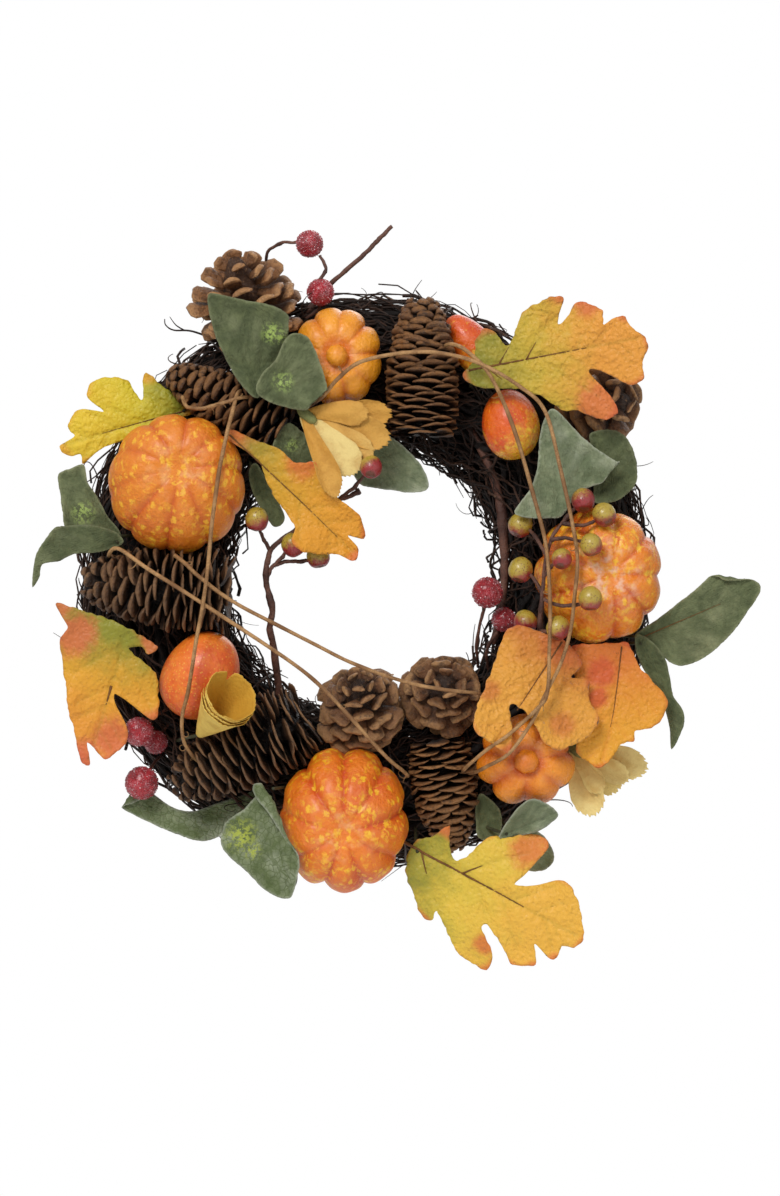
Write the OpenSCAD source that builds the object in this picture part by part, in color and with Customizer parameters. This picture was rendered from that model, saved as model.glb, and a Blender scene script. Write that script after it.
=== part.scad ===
// Harvest door wreath: a twig ring on a wire frame, dressed with foam pumpkins, pine cones,
// fabric leaves, berries and dried tendrils, and hung from a D-shaped wire loop at its back.
// The wreath stands in the XZ plane and its front faces -Y. The origin is the point inside
// the loop that bears on the door hook. Millimetres.

/* [Twig ring] */
// Radius of the ring's centreline
ring_r = 102; // [100:0.5:104]
// Half of the ring's width, from its inner edge to its outer edge
ring_half_w = 37; // [35:0.5:38]
// Half of the ring's depth, from front to back
ring_half_d = 22; // [20:0.5:23]

/* [Wire frame] */
// Diameter of the frame wire
frame_wire_d = 2.6; // [2:0.1:4]
// Distance between the frame's two hoops
hoop_gap = 28; // [20:1:34]
// Number of cross bars between the hoops
cross_bars = 6; // [4:1:8]

/* [Binding] */
// Number of wire turns that bind the twigs
bindings = 7; // [4:1:9]
// Diameter of the binding wire
binding_d = 1.4; // [1:0.1:2]

/* [Hanger] */
// Height of the hanger's pivot above the ring's centre
pivot_h = 118; // [116:0.5:119]
// Radius of the D-shaped loop
loop_r = 8; // [7:0.5:9]
// Diameter of the loop's wire
loop_wire_d = 2; // [1.8:0.1:2.2]
// Diameter of the loop's straight pivot bar
bar_d = 1.7; // [1.5:0.1:1.7]
// Radial clearance of the bar in the strap's knuckles
bar_clearance = 0.08; // [0.05:0.01:0.1]

/* [Trim] */
// Thickness of a fabric leaf
leaf_t = 0.8; // [0.6:0.1:1]
// Diameter of a leaf's wired stem
leaf_stem_d = 1.6; // [1.2:0.1:2]
// Diameter of the wire picks that hold pumpkins and cones
pick_d = 1.6; // [1.2:0.1:2]
// Diameter of the dried tendrils
tendril_d = 1.8; // [1.5:0.1:2]
// Diameter of the thin berry stems
berry_stem_d = 1.6; // [1.2:0.1:1.8]

/* [Hidden] */

$fn = 48;

// Overlap that joins two shapes of one piece, and the air left between two pieces
weld = 0.5;
gap = 0.3;
// Depth of the dimple round a pumpkin's nub
dimple = 1;

// The pivot bar's height behind the ring's middle plane
pivot_y = ring_half_d + 3.2;
// The bearing point inside the loop, measured from the ring's centre
hang_y = pivot_y;
hang_h = pivot_h + loop_r - loop_wire_d / 2;

strap_t = 1.2;
strap_w = 13;
strap_h = 17;
knuckle_d = 4.4;
knuckle_l = 3;
knuckle_x = 4.5;
tie_d = 1.4;
tie_x = 3.2;
tie_drop = 11;
tie_depth = 12;

// Colours
twig_brown = [0.16, 0.10, 0.08];
vine_brown = [0.30, 0.15, 0.11];
tendril_tan = [0.55, 0.40, 0.26];
foam_orange = [0.93, 0.46, 0.09];
pale_orange = [0.95, 0.56, 0.14];
red_orange = [0.90, 0.34, 0.10];
cone_brown = [0.36, 0.24, 0.16];
cone_dark = [0.22, 0.14, 0.10];
cone_tan = [0.52, 0.36, 0.23];
leaf_yellow = [0.80, 0.68, 0.12];
leaf_gold = [0.90, 0.62, 0.14];
leaf_amber = [0.92, 0.52, 0.12];
sage = [0.30, 0.38, 0.27];
cream = [0.83, 0.66, 0.30];
crimson = [0.62, 0.10, 0.13];
berry_red = [0.66, 0.28, 0.16];
steel = [0.60, 0.60, 0.62];

// ---- Placing ----

// Moves a shape from the ring's centre to the model's frame
module from_ring_centre() {
    translate([0, -hang_y, -hang_h]) children();
}

// A place on the ring: its angle from +X, how far past the centreline, and how far forward
module at(angle, past, out) {
    r = ring_r + past;
    from_ring_centre() translate([r * cos(angle), -out, r * sin(angle)]) children();
}

// Turns +Z to the direction `spin` in the wreath's plane, then lifts it towards the viewer
module aim(spin, lift = 0) {
    rotate([0, 90 - spin, 0]) rotate([lift, 0, 0]) children();
}

// Lays a flat shape with its midrib (+Y) along `spin` and its face towards the viewer;
// pitch brings its tip forward, and roll turns it about the midrib
module lay(spin, pitch = 0, roll = 0) {
    rotate([0, 90 - spin, 0]) rotate([pitch, 0, 0]) rotate([90, 0, 0]) rotate([0, roll, 0]) children();
}

// ---- Curves and skins ----

function wrap(list, i) = list[(i + len(list)) % len(list)];

// A point on the smooth curve between b and c, whose neighbours are a and d
function between(a, b, c, d, t) =
    0.5 * (2 * b + (c - a) * t + (2 * a - 5 * b + 4 * c - d) * t * t
        + (3 * b - a - 3 * c + d) * t * t * t);

// A closed outline with a smooth curve through its points
function rounded(pts, steps = 2) = [
    for (i = [0:len(pts) - 1])
    for (s = [0:steps - 1])
    between(wrap(pts, i - 1), pts[i], wrap(pts, i + 1), wrap(pts, i + 2), s / steps)];

// An open route with a smooth curve through its points
function smooth(pts, steps) = concat([
    for (i = [0:len(pts) - 2])
    for (s = [0:steps - 1])
    between(pts[max(i - 1, 0)], pts[i], pts[i + 1], pts[min(i + 2, len(pts) - 1)], s / steps)],
    [pts[len(pts) - 1]]);

// Joins a stack of rings, all with the same number of points, into one closed solid
module skin(rings) {
    n = len(rings[0]);
    last = len(rings) - 1;
    sides = [
        for (i = [0:last - 1])
        for (j = [0:n - 1])
        for (half = [0, 1])
        half == 0
            ? [i * n + j, (i + 1) * n + j, (i + 1) * n + (j + 1) % n]
            : [i * n + j, (i + 1) * n + (j + 1) % n, i * n + (j + 1) % n]];
    start_cap = [for (j = [0:n - 1]) j];
    end_cap = [for (j = [n - 1:-1:0]) last * n + j];
    polyhedron([for (ring = rings) each ring], concat([start_cap], sides, [end_cap]));
}

function unit(v) = v / norm(v);

// The direction of a route at its point i
function heading(pts, i) = unit(pts[min(i + 1, len(pts) - 1)] - pts[max(i - 1, 0)]);

// A round tube along a route, which tapers from r0 to r1; `up` never lies along the route
module tube(pts, r0, r1, sides = 6, up = [0, 1, 0]) {
    last = len(pts) - 1;
    skin([
        for (i = [0:last])
        let (
            t = heading(pts, i),
            u = unit(cross(t, up)),
            v = cross(t, u),
            r = r0 + (r1 - r0) * i / last)
        [for (j = [0:sides - 1]) pts[i] + r * cos(360 * j / sides) * u + r * sin(360 * j / sides) * v]]);
}

// A route's point is [across, up, forward], measured from the ring's centre
function spot(p) = [p[0], -p[2], p[1]];

// A thin branch along such points
module branch(points, r0, r1, steps = 3, sides = 6) {
    from_ring_centre() tube(smooth([for (p = points) spot(p)], steps), r0, r1, sides);
}

// A straight wire between two points
module rod(from, to, d) {
    v = to - from;
    translate(from) rotate([0, acos(v[2] / norm(v)), atan2(v[1], v[0])]) cylinder(d = d, h = norm(v), $fn = 16);
}

// ---- Pumpkins and gourds ----

// A ribbed foam pumpkin with its stem axis towards the viewer (along -Y); its nub stands in
// the front dimple and is [diameter at its base, diameter at its top, how far it stands out]
module pumpkin(width, height, depth, ribs, groove, turn = 0, nub = []) {
    per_rib = 4;
    n = ribs * per_rib;
    levels = [-78, -60, -40, -20, 0, 20, 40, 60, 78];
    front = -depth / 2 * sin(levels[len(levels) - 1]);
    lobed = [
        for (level = levels)
        let (swell = pow(cos(level), 0.75))
        [for (j = [0:n - 1])
        let (
            a = 360 * j / n,
            rib = 1 - groove * pow(1 - abs(sin(ribs * a / 2)), 1.5))
        [width / 2 * swell * rib * cos(a + turn), -depth / 2 * sin(level), height / 2 * swell * rib * sin(a + turn)]]];
    round_nub = nub == [] ? [] : [
        for (end = [0, 1])
        [for (j = [0:n - 1])
        let (a = 360 * j / n + turn)
        [nub[end] / 2 * cos(a), front + (end == 0 ? dimple : -nub[2]), nub[end] / 2 * sin(a)]]];
    skin(concat(lobed, round_nub));
}

// A smooth gourd with its long axis along Z: round at the bottom, narrower at the top
module gourd(len, dia, neck) {
    rotate_extrude()
    polygon([
        for (a = [-90:10:90])
        [max(0, dia / 2 * cos(a) * (1 - neck * (1 + sin(a)) / 2)), len / 2 * sin(a)]]);
}

// ---- Pine cones ----

// The scales' outer radius as a share of the cone's, from its base (0) to its tip (1)
function plump(t) = pow(sin(180 * pow(0.12 + 0.86 * t, 0.72)), 0.7);

// A pine cone along Z, centred on its middle, with `rows` rows of scales that stand out by
// `open` of its radius
module pine_cone(len, dia, rows, open) {
    rotate_extrude()
    polygon(concat(
        [[0, -len / 2]],
        [for (i = [0:rows - 1])
        for (edge = [0, 1])
        let (t = (i + 0.75 * edge) / rows)
        [max(1.2, dia / 2 * plump(t) * (edge == 1 ? 1 : 1 - open)), len * (t - 0.5)]],
        [[0, len / 2]]));
}

// ---- Leaves ----

// A flat fabric leaf whose base is at the origin, with its wired stem running to `foot`
module leaf(outline, foot, heel = [0, 3]) {
    linear_extrude(leaf_t) polygon(rounded(outline));
    rod([heel[0], heel[1], leaf_t / 2], foot, leaf_stem_d);
}

// Each outline goes round from the leaf's base; X is across the midrib and Y is along it
oak_upper_left_pts = [
    [-2, -2], [3, 1], [12, 8], [22, 15], [20, 18], [10, 21], [20, 25], [24, 30], [25, 37], [23, 44],
    [17, 46], [9, 40], [13, 51], [7, 59], [1, 57], [-2, 65], [-8, 61], [-8, 56], [-13, 56], [-9, 48],
    [-7, 38], [-6, 28], [-3, 15]];
oak_inner_pts = [
    [-2, -1], [2, 2], [1, 10], [0, 20], [4, 27], [8, 38], [10, 47], [12, 54], [18, 57], [18, 65],
    [13, 72], [8, 78], [6, 84], [3, 86], [-1, 83], [-2, 76], [-6, 82], [-12, 76], [-13, 69],
    [-12, 60], [-11, 54], [-15, 47], [-17, 40], [-11, 33], [-11, 24], [-8, 16], [-5, 8]];
oak_lower_left_pts = [
    [0, -2], [10, -3], [22, -4], [36, -4], [28, 5], [30, 11], [27, 20], [22, 32], [18, 43], [13, 52],
    [9, 60], [5, 67], [1, 66], [5, 57], [-1, 60], [-6, 62], [-13, 52], [-11, 44], [-4, 36], [-2, 31],
    [-9, 33], [-18, 37], [-24, 38], [-23, 28], [-19, 17], [-12, 13], [-3, 8], [-8, 6], [-13, 8],
    [-16, 4], [-8, 1]];
oak_top_right_pts = [
    [2, -3], [8, 3], [11, 11], [13, 22], [17, 30], [23, 37], [28, 42], [29, 48], [33, 54], [36, 62],
    [33, 67], [25, 65], [17, 60], [11, 57], [12, 62], [18, 70], [22, 76], [20, 82], [12, 83], [7, 87],
    [0, 86], [-5, 81], [-11, 79], [-11, 73], [-9, 68], [-16, 69], [-20, 63], [-22, 57], [-17, 53],
    [-13, 47], [-19, 49], [-25, 52], [-27, 47], [-25, 39], [-23, 32], [-15, 27], [-8, 21],
    [-15, 17], [-18, 12], [-13, 7], [-4, 4]];
oak_front_right_pts = [
    [1, 0], [12, 3], [23, 7], [25, 14], [22, 24], [20, 34], [18, 45], [15, 55], [10, 61], [0, 61],
    [-8, 60], [-6, 54], [-1, 47], [4, 40], [-2, 39], [-11, 42], [-18, 46], [-26, 46], [-31, 40],
    [-36, 29], [-34, 21], [-26, 17], [-21, 9], [-13, 12], [-14, 5], [-6, 1]];
oak_lower_right_pts = [
    [0, -1], [12, 1], [24, 3], [22, 16], [19, 30], [18, 42], [20, 51], [14, 57], [8, 60], [2, 54],
    [-2, 48], [-8, 46], [-8, 41], [-17, 39], [-23, 29], [-20, 21], [-13, 15], [-8, 9], [-4, 1]];
oak_bottom_pts = [
    [-1, 5], [-5, 7], [-10, 13], [-18, 17], [-12, 20], [-5, 25], [-5, 29], [-13, 33], [-22, 37],
    [-25, 44], [-31, 52], [-33, 60], [-30, 64], [-24, 63], [-13, 60], [-7, 58], [-11, 67], [-18, 75],
    [-19, 82], [-14, 88], [-10, 92], [-3, 97], [2, 99], [7, 97], [9, 91], [15, 92], [17, 88],
    [14, 79], [22, 84], [26, 79], [28, 73], [24, 68], [17, 56], [19, 53], [25, 60], [30, 64],
    [37, 64], [37, 57], [35, 47], [30, 40], [22, 30], [27, 30], [28, 25], [23, 19], [14, 10], [6, 6]];
sage_top_pts = [
    [-2, 0], [3, 4], [10, 8], [17, 11], [22, 16], [27, 24], [29, 28], [25, 35], [17, 42], [9, 49],
    [1, 55], [-3, 48], [-6, 36], [-7, 24], [-7, 12], [-5, 3]];
sage_top_fold_pts = [
    [-4, 0], [2, 0], [9, 2], [17, 6], [25, 11], [27, 16], [20, 23], [12, 29], [4, 34], [-2, 36],
    [-8, 33], [-9, 27], [-7, 18], [-8, 10], [-7, 3]];
sage_left_pts = [
    [0, -1], [2, 6], [1, 14], [2, 24], [2, 33], [5, 41], [-1, 43], [-8, 44], [-12, 36], [-16, 27],
    [-19, 18], [-11, 12], [-4, 5]];
sage_left_droop_pts = [
    [-1, -1], [4, 0], [9, 6], [13, 14], [15, 22], [16, 28], [12, 34], [7, 40], [0, 44], [-8, 47],
    [-4, 42], [1, 39], [0, 31], [1, 23], [-1, 15], [-2, 7]];
sage_inner_top_pts = [
    [-1, -2], [-6, 3], [-13, 9], [-14, 15], [-12, 25], [-8, 35], [-1, 42], [4, 38], [8, 29],
    [12, 18], [13, 11], [6, 2]];
sage_inner_upper_pts = [
    [2, 0], [8, 3], [9, 12], [5, 19], [1, 23], [-4, 20], [-9, 14], [-5, 6]];
sage_inner_lower_pts = [
    [-3, 0], [2, 3], [3, 14], [1, 24], [-2, 32], [-8, 29], [-6, 14]];
sage_right_inner_pts = [
    [0, -2], [4, 2], [9, 8], [18, 11], [30, 12], [35, 16], [27, 23], [19, 30], [13, 37], [8, 44],
    [2, 50], [-3, 44], [-6, 35], [-8, 24], [-13, 13], [-22, 3], [-14, -1], [-6, -2]];
sage_right_outer_pts = [
    [-2, -2], [5, -1], [11, 3], [16, 11], [14, 22], [8, 31], [1, 34], [-10, 30], [-6, 20], [-4, 8]];
sage_far_right_pts = [
    [-2, -2], [-5, 10], [-8, 22], [-12, 36], [-16, 46], [-17, 53], [-10, 59], [0, 63], [8, 53],
    [15, 41], [20, 26], [20, 14], [15, 8], [6, 4]];
sage_right_droop_pts = [
    [0, -2], [-6, 4], [-9, 14], [-8, 24], [-7, 32], [-9, 39], [-7, 47], [2, 56], [0, 48], [-1, 40],
    [-1, 28], [2, 17], [3, 6]];
sage_bottom_left_pts = [
    [2, -3], [-2, 3], [-5, 11], [-9, 21], [-12, 29], [-11, 38], [-5, 48], [4, 59], [8, 66], [1, 68],
    [-10, 66], [-15, 58], [-20, 46], [-24, 34], [-26, 22], [-21, 12], [-13, 4], [-5, -3]];
sage_bottom_fold_pts = [
    [0, -3], [-4, 1], [-6, 11], [-9, 21], [-11, 29], [-9, 38], [-6, 48], [0, 56], [8, 53], [14, 47],
    [20, 38], [27, 28], [28, 21], [24, 14], [15, 10], [6, 3]];
sage_corner_upper_pts = [
    [0, -1], [4, 8], [4, 20], [2, 29], [-7, 27], [-14, 21], [-13, 13], [-7, 6]];
sage_corner_lower_pts = [
    [-2, 0], [2, 4], [4, 12], [8, 20], [4, 27], [-2, 29], [-7, 26], [-10, 17], [-8, 7]];
sage_corner_inner_pts = [
    [0, -2], [4, 4], [6, 11], [7, 18], [0, 22], [-5, 17], [-7, 9], [-4, 2]];
bloom_top_pts = [
    [2, -1], [-5, 5], [-12, 13], [-19, 22], [-24, 31], [-24, 38], [-18, 39], [-13, 43], [-11, 36],
    [-7, 31], [-4, 38], [4, 39], [12, 38], [20, 36], [22, 32], [17, 22], [11, 12], [6, 3]];
bloom_corner_pts = [
    [3, 0], [9, 5], [16, 13], [21, 23], [16, 28], [5, 28], [0, 23], [-2, 24], [-7, 30], [-12, 35],
    [-18, 30], [-19, 22], [-16, 14], [-8, 5], [-2, -1]];

// ---- Berries, stems and tendrils ----

// Each berry is [across, up, forward, radius], measured from the ring's centre
frosted_list = [
    [-26.9, 162.7, 22, 6.7], [-21.6, 139.2, 24, 6.7],
    [-109, -73, 32, 7.2], [-101.5, -78.5, 19, 5.8], [-108, -98, 24, 8.2],
    [59, -6, 30, 7.6], [67, -19, 22, 6]];
spray_left_list = [
    [3, 54, 50, 5.3], [-52, 29, 38, 5.6], [-34.6, 16.8, 34, 5.6], [-22.6, 11.5, 32, 5.6]];
spray_right_list = [
    [74.6, 26.4, 38, 5.8], [104.2, 38, 53, 5.6], [114, 31, 59, 5.6], [107.5, 16.5, 67.8, 5.2],
    [93.5, 10, 66.5, 4.8], [74.4, 4.8, 50, 5.8], [107, -9, 69, 5.6], [77, -20.2, 42, 5.6],
    [92, -23, 57.5, 5.6]];

module berries(list) {
    for (b = list) from_ring_centre() translate(spot(b)) sphere(r = b[3]);
}

// The routes of the dried tendrils, each point [across, up, forward]
tendril_left_upper = [[-88, 88, 34], [-85, 83, 44], [-78, 82, 49], [-70, 84, 50], [-60, 87, 48], [-55, 88, 36]];
tendril_left_lower = [
    [-60, 91, 36], [-62, 86, 49], [-68, 58, 60], [-72, 33, 61], [-76, -5, 60], [-81, -34, 60],
    [-84, -52, 57], [-87, -65, 53], [-87, -76, 47], [-83, -84, 42], [-78, -89, 36]];
tendril_cross_upper = [
    [-114, 9, 10], [-121, 11, 22], [-123, 12, 38], [-118, 15, 49], [-103, 5, 55], [-79, -10, 57.5],
    [-50, -29, 60], [-26, -46, 63], [-7, -65, 65], [10, -84, 60], [18, -91, 52], [20.5, -94, 36],
    [20, -95, 12]];
tendril_cross_lower = [
    [-91, 12, 45.5], [-85, 7, 52], [-77, 0, 55], [-60, -12, 56], [-31, -27, 56], [-7, -39, 57],
    [17, -48, 57], [36, -52, 56], [53, -54, 53], [58, -57, 42], [62, -60, 14]];
tendril_arch = [
    [-29, 84, 14], [-27, 84, 34], [-20, 88, 47], [-13, 96, 52], [-2, 104, 54.5], [17, 108, 56],
    [36, 108, 57], [55, 103, 58], [74, 92, 59], [86, 80, 59], [93, 53, 60], [99, 24, 64],
    [101, 8, 65], [99.5, -9.6, 65], [97.4, -26, 63], [93, -40, 62], [86, -54, 62], [79, -68, 62],
    [69, -82, 62], [58, -89, 55], [53, -92, 44], [50, -93, 33]];
tendril_inner = [
    [38, 112, 41], [42, 112.5, 52], [50, 108, 57], [60, 97, 57], [71, 72, 55.5], [79, 45, 56],
    [86, 18, 61], [88, -9.6, 61.5], [87.6, -36, 63], [86.6, -54, 65], [82, -61, 64], [69, -73, 63],
    [59, -80, 61], [50, -88, 50], [47, -92, 36]];

// ---- The hanger ----

module hanger_loop() {
    lap = 8;
    color(steel) from_ring_centre() translate([0, pivot_y, pivot_h]) {
        rotate([90, 0, 0]) rotate([0, 0, -lap])
            rotate_extrude(angle = 180 + 2 * lap) translate([loop_r, 0]) circle(d = loop_wire_d);
        rotate([0, 90, 0]) cylinder(d = bar_d, h = 2 * loop_r, center = true);
    }
}

module hanger_strap() {
    plate_y = pivot_y - knuckle_d / 2 + weld;
    color(steel) from_ring_centre() difference() {
        union() {
            translate([-strap_w / 2, plate_y - strap_t, pivot_h + 1 - strap_h]) cube([strap_w, strap_t, strap_h]);
            for (side = [-1, 1])
                translate([side * knuckle_x, pivot_y, pivot_h]) rotate([0, 90, 0])
                    cylinder(d = knuckle_d, h = knuckle_l, center = true);
        }
        translate([0, pivot_y, pivot_h]) rotate([0, 90, 0])
            cylinder(d = bar_d + 2 * bar_clearance, h = strap_w + 2, center = true);
        for (side = [-1, 1])
            translate([side * tie_x, plate_y, pivot_h - tie_drop]) rotate([90, 0, 0])
                cylinder(d = tie_d + gap, h = 4 * strap_t, center = true);
    }
}

module hanger_tie() {
    back = pivot_y - knuckle_d / 2 + weld + tie_d;
    front = back - tie_depth;
    z = pivot_h - tie_drop;
    color(twig_brown) from_ring_centre() tube(smooth([
        [-tie_x, front, z], [-tie_x, (front + back) / 2, z], [-tie_x, back - 1.2, z], [-tie_x / 2, back, z],
        [tie_x / 2, back, z], [tie_x, back - 1.2, z], [tie_x, (front + back) / 2, z], [tie_x, front, z]], 3),
        tie_d / 2, tie_d / 2, 8, [0, 0, 1]);
}

// ---- The ring ----

module wire_frame() {
    color(twig_brown) from_ring_centre() rotate([90, 0, 0]) {
        for (side = [-1, 1])
            rotate_extrude($fn = 96) translate([ring_r + side * hoop_gap / 2, 0]) circle(d = frame_wire_d);
        for (i = [0:cross_bars - 1])
            rotate([0, 0, 360 * (i + 0.5) / cross_bars]) translate([ring_r, 0, 0]) rotate([0, 90, 0])
                cylinder(d = frame_wire_d * 0.8, h = hoop_gap, center = true);
    }
}

module twig_ring() {
    color(twig_brown) from_ring_centre() rotate([90, 0, 0]) rotate_extrude($fn = 96)
        polygon([
            for (a = [0:12:348])
            [ring_r + ring_half_w * cos(a), ring_half_d * sin(a)]]);
}

// One closed turn of wire round the twig bundle
module binding_turn(angle) {
    n = 28;
    sides = 6;
    points = [
        for (i = [0:n - 1])
        for (j = [0:sides - 1])
        let (
            a = 360 * i / n,
            b = 360 * j / sides,
            r = binding_d / 2,
            u = unit([cos(a) / ring_half_w, sin(a) / ring_half_d, 0]))
        [ring_r + ring_half_w * cos(a) + r * cos(b) * u[0],
            ring_half_d * sin(a) + r * cos(b) * u[1],
            r * sin(b)]];
    faces = [
        for (i = [0:n - 1])
        for (j = [0:sides - 1])
        for (half = [0, 1])
        let (
            here = i * sides + j,
            over = i * sides + (j + 1) % sides,
            next = ((i + 1) % n) * sides + j,
            far = ((i + 1) % n) * sides + (j + 1) % sides)
        half == 0 ? [here, far, next] : [here, over, far]];
    from_ring_centre() rotate([0, -angle, 0]) polyhedron(points, faces);
}

module binding_wire() {
    color(vine_brown) for (i = [0:bindings - 1]) binding_turn(20 + 360 * i / bindings);
}

// Each pick is [angle, past, out at its tip]: a straight wire from the frame into a pumpkin or cone
pick_list = [
    [153, 0, 20], [97, 7, 24], [2, 8, 20], [265, 12, 20], [311, 12, 28], [65, 17, 16], [47, 1, 22],
    [209, -10, 20], [114, 28, 22], [128, 6, 20], [75, 4, 22], [182, -3, 20], [234, -1, 20],
    [291, 9, 16], [36, 26, 18], [268, -26, 24], [305, -24, 22]];

module wire_picks() {
    color(steel) for (p = pick_list)
        at(p[0], p[1], 0) rotate([90, 0, 0]) cylinder(d = pick_d, h = p[2], $fn = 16);
}

module vine_cane() {
    color(vine_brown) branch([
        [50, 74, 13], [60, 56, 14], [66, 34, 13], [67.5, 10, 12], [66.5, -12, 12], [62, -31, 12]], 3, 2.6, 3, 8);
}

module bare_twig() {
    color(vine_brown) branch([[-30, 128, 8], [-18, 143, 10], [-2, 157, 12], [6, 165, 13], [13, 172, 14]], 1.4, 1.1);
}

// ---- Pumpkins and gourds on the ring ----

module pumpkin_left() {
    color(foam_orange) at(153, -0.5, 38) pumpkin(67, 66, 50, 10, 0.12, 9);
}

module pumpkin_top() {
    color(pale_orange) at(97, 6.5, 34) pumpkin(44, 49, 33, 9, 0.14, 4, [9, 6.5, 4]);
}

module pumpkin_right() {
    color(foam_orange) at(1, 10, 38) pumpkin(62, 65, 50, 10, 0.14, 0);
}

module pumpkin_bottom() {
    color(foam_orange) at(265, 13, 38) pumpkin(63, 70, 50, 9, 0.14, 10);
}

module pumpkin_corner() {
    color(pale_orange) at(311.5, 14.5, 38) pumpkin(49, 46, 32, 7, 0.22, 12, [10, 7.5, 3.5]);
}

module gourd_top() {
    color(red_orange) at(65.5, 22.5, 20) aim(128, 0) gourd(36, 25, 0.2);
}

module gourd_right() {
    color(red_orange) at(47, 0.5, 32) aim(100, 0) gourd(34, 31, 0.12);
}

module gourd_left() {
    color(foam_orange) at(210, -10.5, 32) aim(60, 10) gourd(44, 40, 0.1);
}

// ---- Pine cones on the ring ----

module cone_top_left() {
    color(cone_tan) at(113, 49, 27) aim(105, 37) pine_cone(46, 44, 5, 0.45);
}

module cone_upper_left() {
    color(cone_brown) at(128, 7, 27) aim(153, 0) pine_cone(67, 31, 9, 0.18);
}

module cone_top() {
    color(cone_brown) at(75, 4, 33) aim(90, 0) pine_cone(71, 35, 10, 0.18);
}

module cone_left() {
    color(cone_dark) at(182, -2.5, 33) aim(175, 0) pine_cone(79, 39, 9, 0.25);
}

module cone_lower_left() {
    color(cone_dark) at(234, 0.5, 31) aim(208, 0) pine_cone(80, 40, 10, 0.3);
}

module cone_bottom_left() {
    color(cone_tan) at(268, -43, 32) aim(95, 55) pine_cone(40, 40, 5, 0.4);
}

module cone_bottom_middle() {
    color(cone_tan) at(305, -36.5, 30) aim(80, 75) pine_cone(34, 38, 5, 0.4);
}

module cone_bottom_right() {
    color(cone_brown) at(290.5, 9.5, 23) aim(279, 0) pine_cone(58, 33, 8, 0.2);
}

module cone_top_right() {
    color(cone_tan) at(36, 43, 24) aim(10, 50) pine_cone(32, 37, 5, 0.4);
}

// ---- Autumn leaves ----

module oak_leaf_upper_left() {
    color(leaf_yellow) at(136, 16.5, 21) lay(194, 2, 0) leaf(oak_upper_left_pts, [4, -6, -14]);
}

module oak_leaf_inner() {
    color(leaf_gold) at(133, -6, 50) lay(318, -4, 0) leaf(oak_inner_pts, [6, -4, -32]);
}

module oak_leaf_lower_left() {
    color(leaf_amber) at(192, 14.5, 46) lay(255, -6, -6) leaf(oak_lower_left_pts, [2, 4, -32]);
}

module oak_leaf_top_right() {
    color(leaf_gold) at(64, 9.5, 46) lay(11, 3, 2) leaf(oak_top_right_pts, [8, -1, -30], [3, 3]);
}

module oak_leaf_front_right() {
    color(leaf_amber) at(343, -3, 50) lay(236, 9, 0) leaf(oak_front_right_pts, [6, 4, -34]);
}

module oak_leaf_lower_right() {
    color(leaf_amber) at(346, 25, 44) lay(267, 3, 0) leaf(oak_lower_right_pts, [12, 12, -34], [2, 4]);
}

module oak_leaf_bottom() {
    color(leaf_gold) at(278, 25, 36) lay(333, 6, 6) leaf(oak_bottom_pts, [-8, -1, -28], [1, 9]);
}

// ---- Green leaves ----

module sage_leaf_top() {
    color(sage) at(119, -1, 48) lay(119, 8, 4) leaf(sage_top_pts, [17, 11, -36]);
}

module sage_leaf_top_fold() {
    color(sage) at(119, -3, 52) lay(53, 4, 6) leaf(sage_top_fold_pts, [6, 8, -42], [6, 8]);
}

module sage_leaf_left() {
    color(sage) at(171, 17, 30) lay(123, -4, 0) leaf(sage_left_pts, [14, -5, -20], [0.5, 3]);
}

module sage_leaf_left_droop() {
    color(sage) at(171, 17, 36) lay(198, 4, 0) leaf(sage_left_droop_pts, [-15, -5, -26], [1, 2]);
}

module sage_leaf_inner_top() {
    color(sage) at(96, -38, 22) lay(332, 4, 0) leaf(sage_inner_top_pts, [-14, 4, -14]);
}

module sage_leaves_inner_left() {
    color(sage) at(121, -40, 34) lay(105, 2, 0) leaf(sage_inner_upper_pts, [11, 10, -26], [2, 4]);
    color(sage) at(135, -24, 26) lay(288, 4, 0) leaf(sage_inner_lower_pts, [0, -6, -16], [-1, 3]);
}

module sage_leaf_right_inner() {
    color(sage) at(19, -3, 44) lay(97, 0, 0) leaf(sage_right_inner_pts, [0, 6, -30]);
}

module sage_leaf_right_outer() {
    color(sage) at(19, 17, 38) lay(80, -4, 0) leaf(sage_right_outer_pts, [0, 4, -26]);
}

module sage_leaf_far_right() {
    color(sage) at(348, 33, 36) lay(23, 0, 0) leaf(sage_far_right_pts, [-7, -12, -28]);
}

module sage_leaf_right_droop() {
    color(sage) at(348, 32, 40) lay(289, -6, 0) leaf(sage_right_droop_pts, [13, 1, -34], [-1, 3]);
}

module sage_leaf_bottom_left() {
    color(sage) at(242, 13, 14) lay(177, 0, 0) leaf(sage_bottom_left_pts, [8, -4, -12], [-4, 3]);
}

module sage_leaf_bottom_fold() {
    color(sage) at(245, 5, 51) lay(280, 10, 20) leaf(sage_bottom_fold_pts, [2, -2, -40], [-1, 3]);
}

module sage_leaf_corner_upper() {
    color(sage) at(298, 37, 42.8) lay(25, 4, 30) leaf(sage_corner_upper_pts, [6, -13, -34], [0, 3]);
}

module sage_leaf_corner_lower() {
    color(sage) at(299, 35.5, 20) lay(320, 0, 0) leaf(sage_corner_lower_pts, [-6, -12, -16], [-1, 3]);
}

module sage_leaf_corner_inner() {
    color(sage) at(298, 17, 24) lay(288, 0, 0) leaf(sage_corner_inner_pts, [0, -4, -16], [-1, 3]);
}

// ---- Paper blooms ----

module bloom_top() {
    color(cream) at(110, -17, 44) lay(321, -2, 0) leaf(bloom_top_pts, [2, 3, -30], [2, 3]);
}

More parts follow.
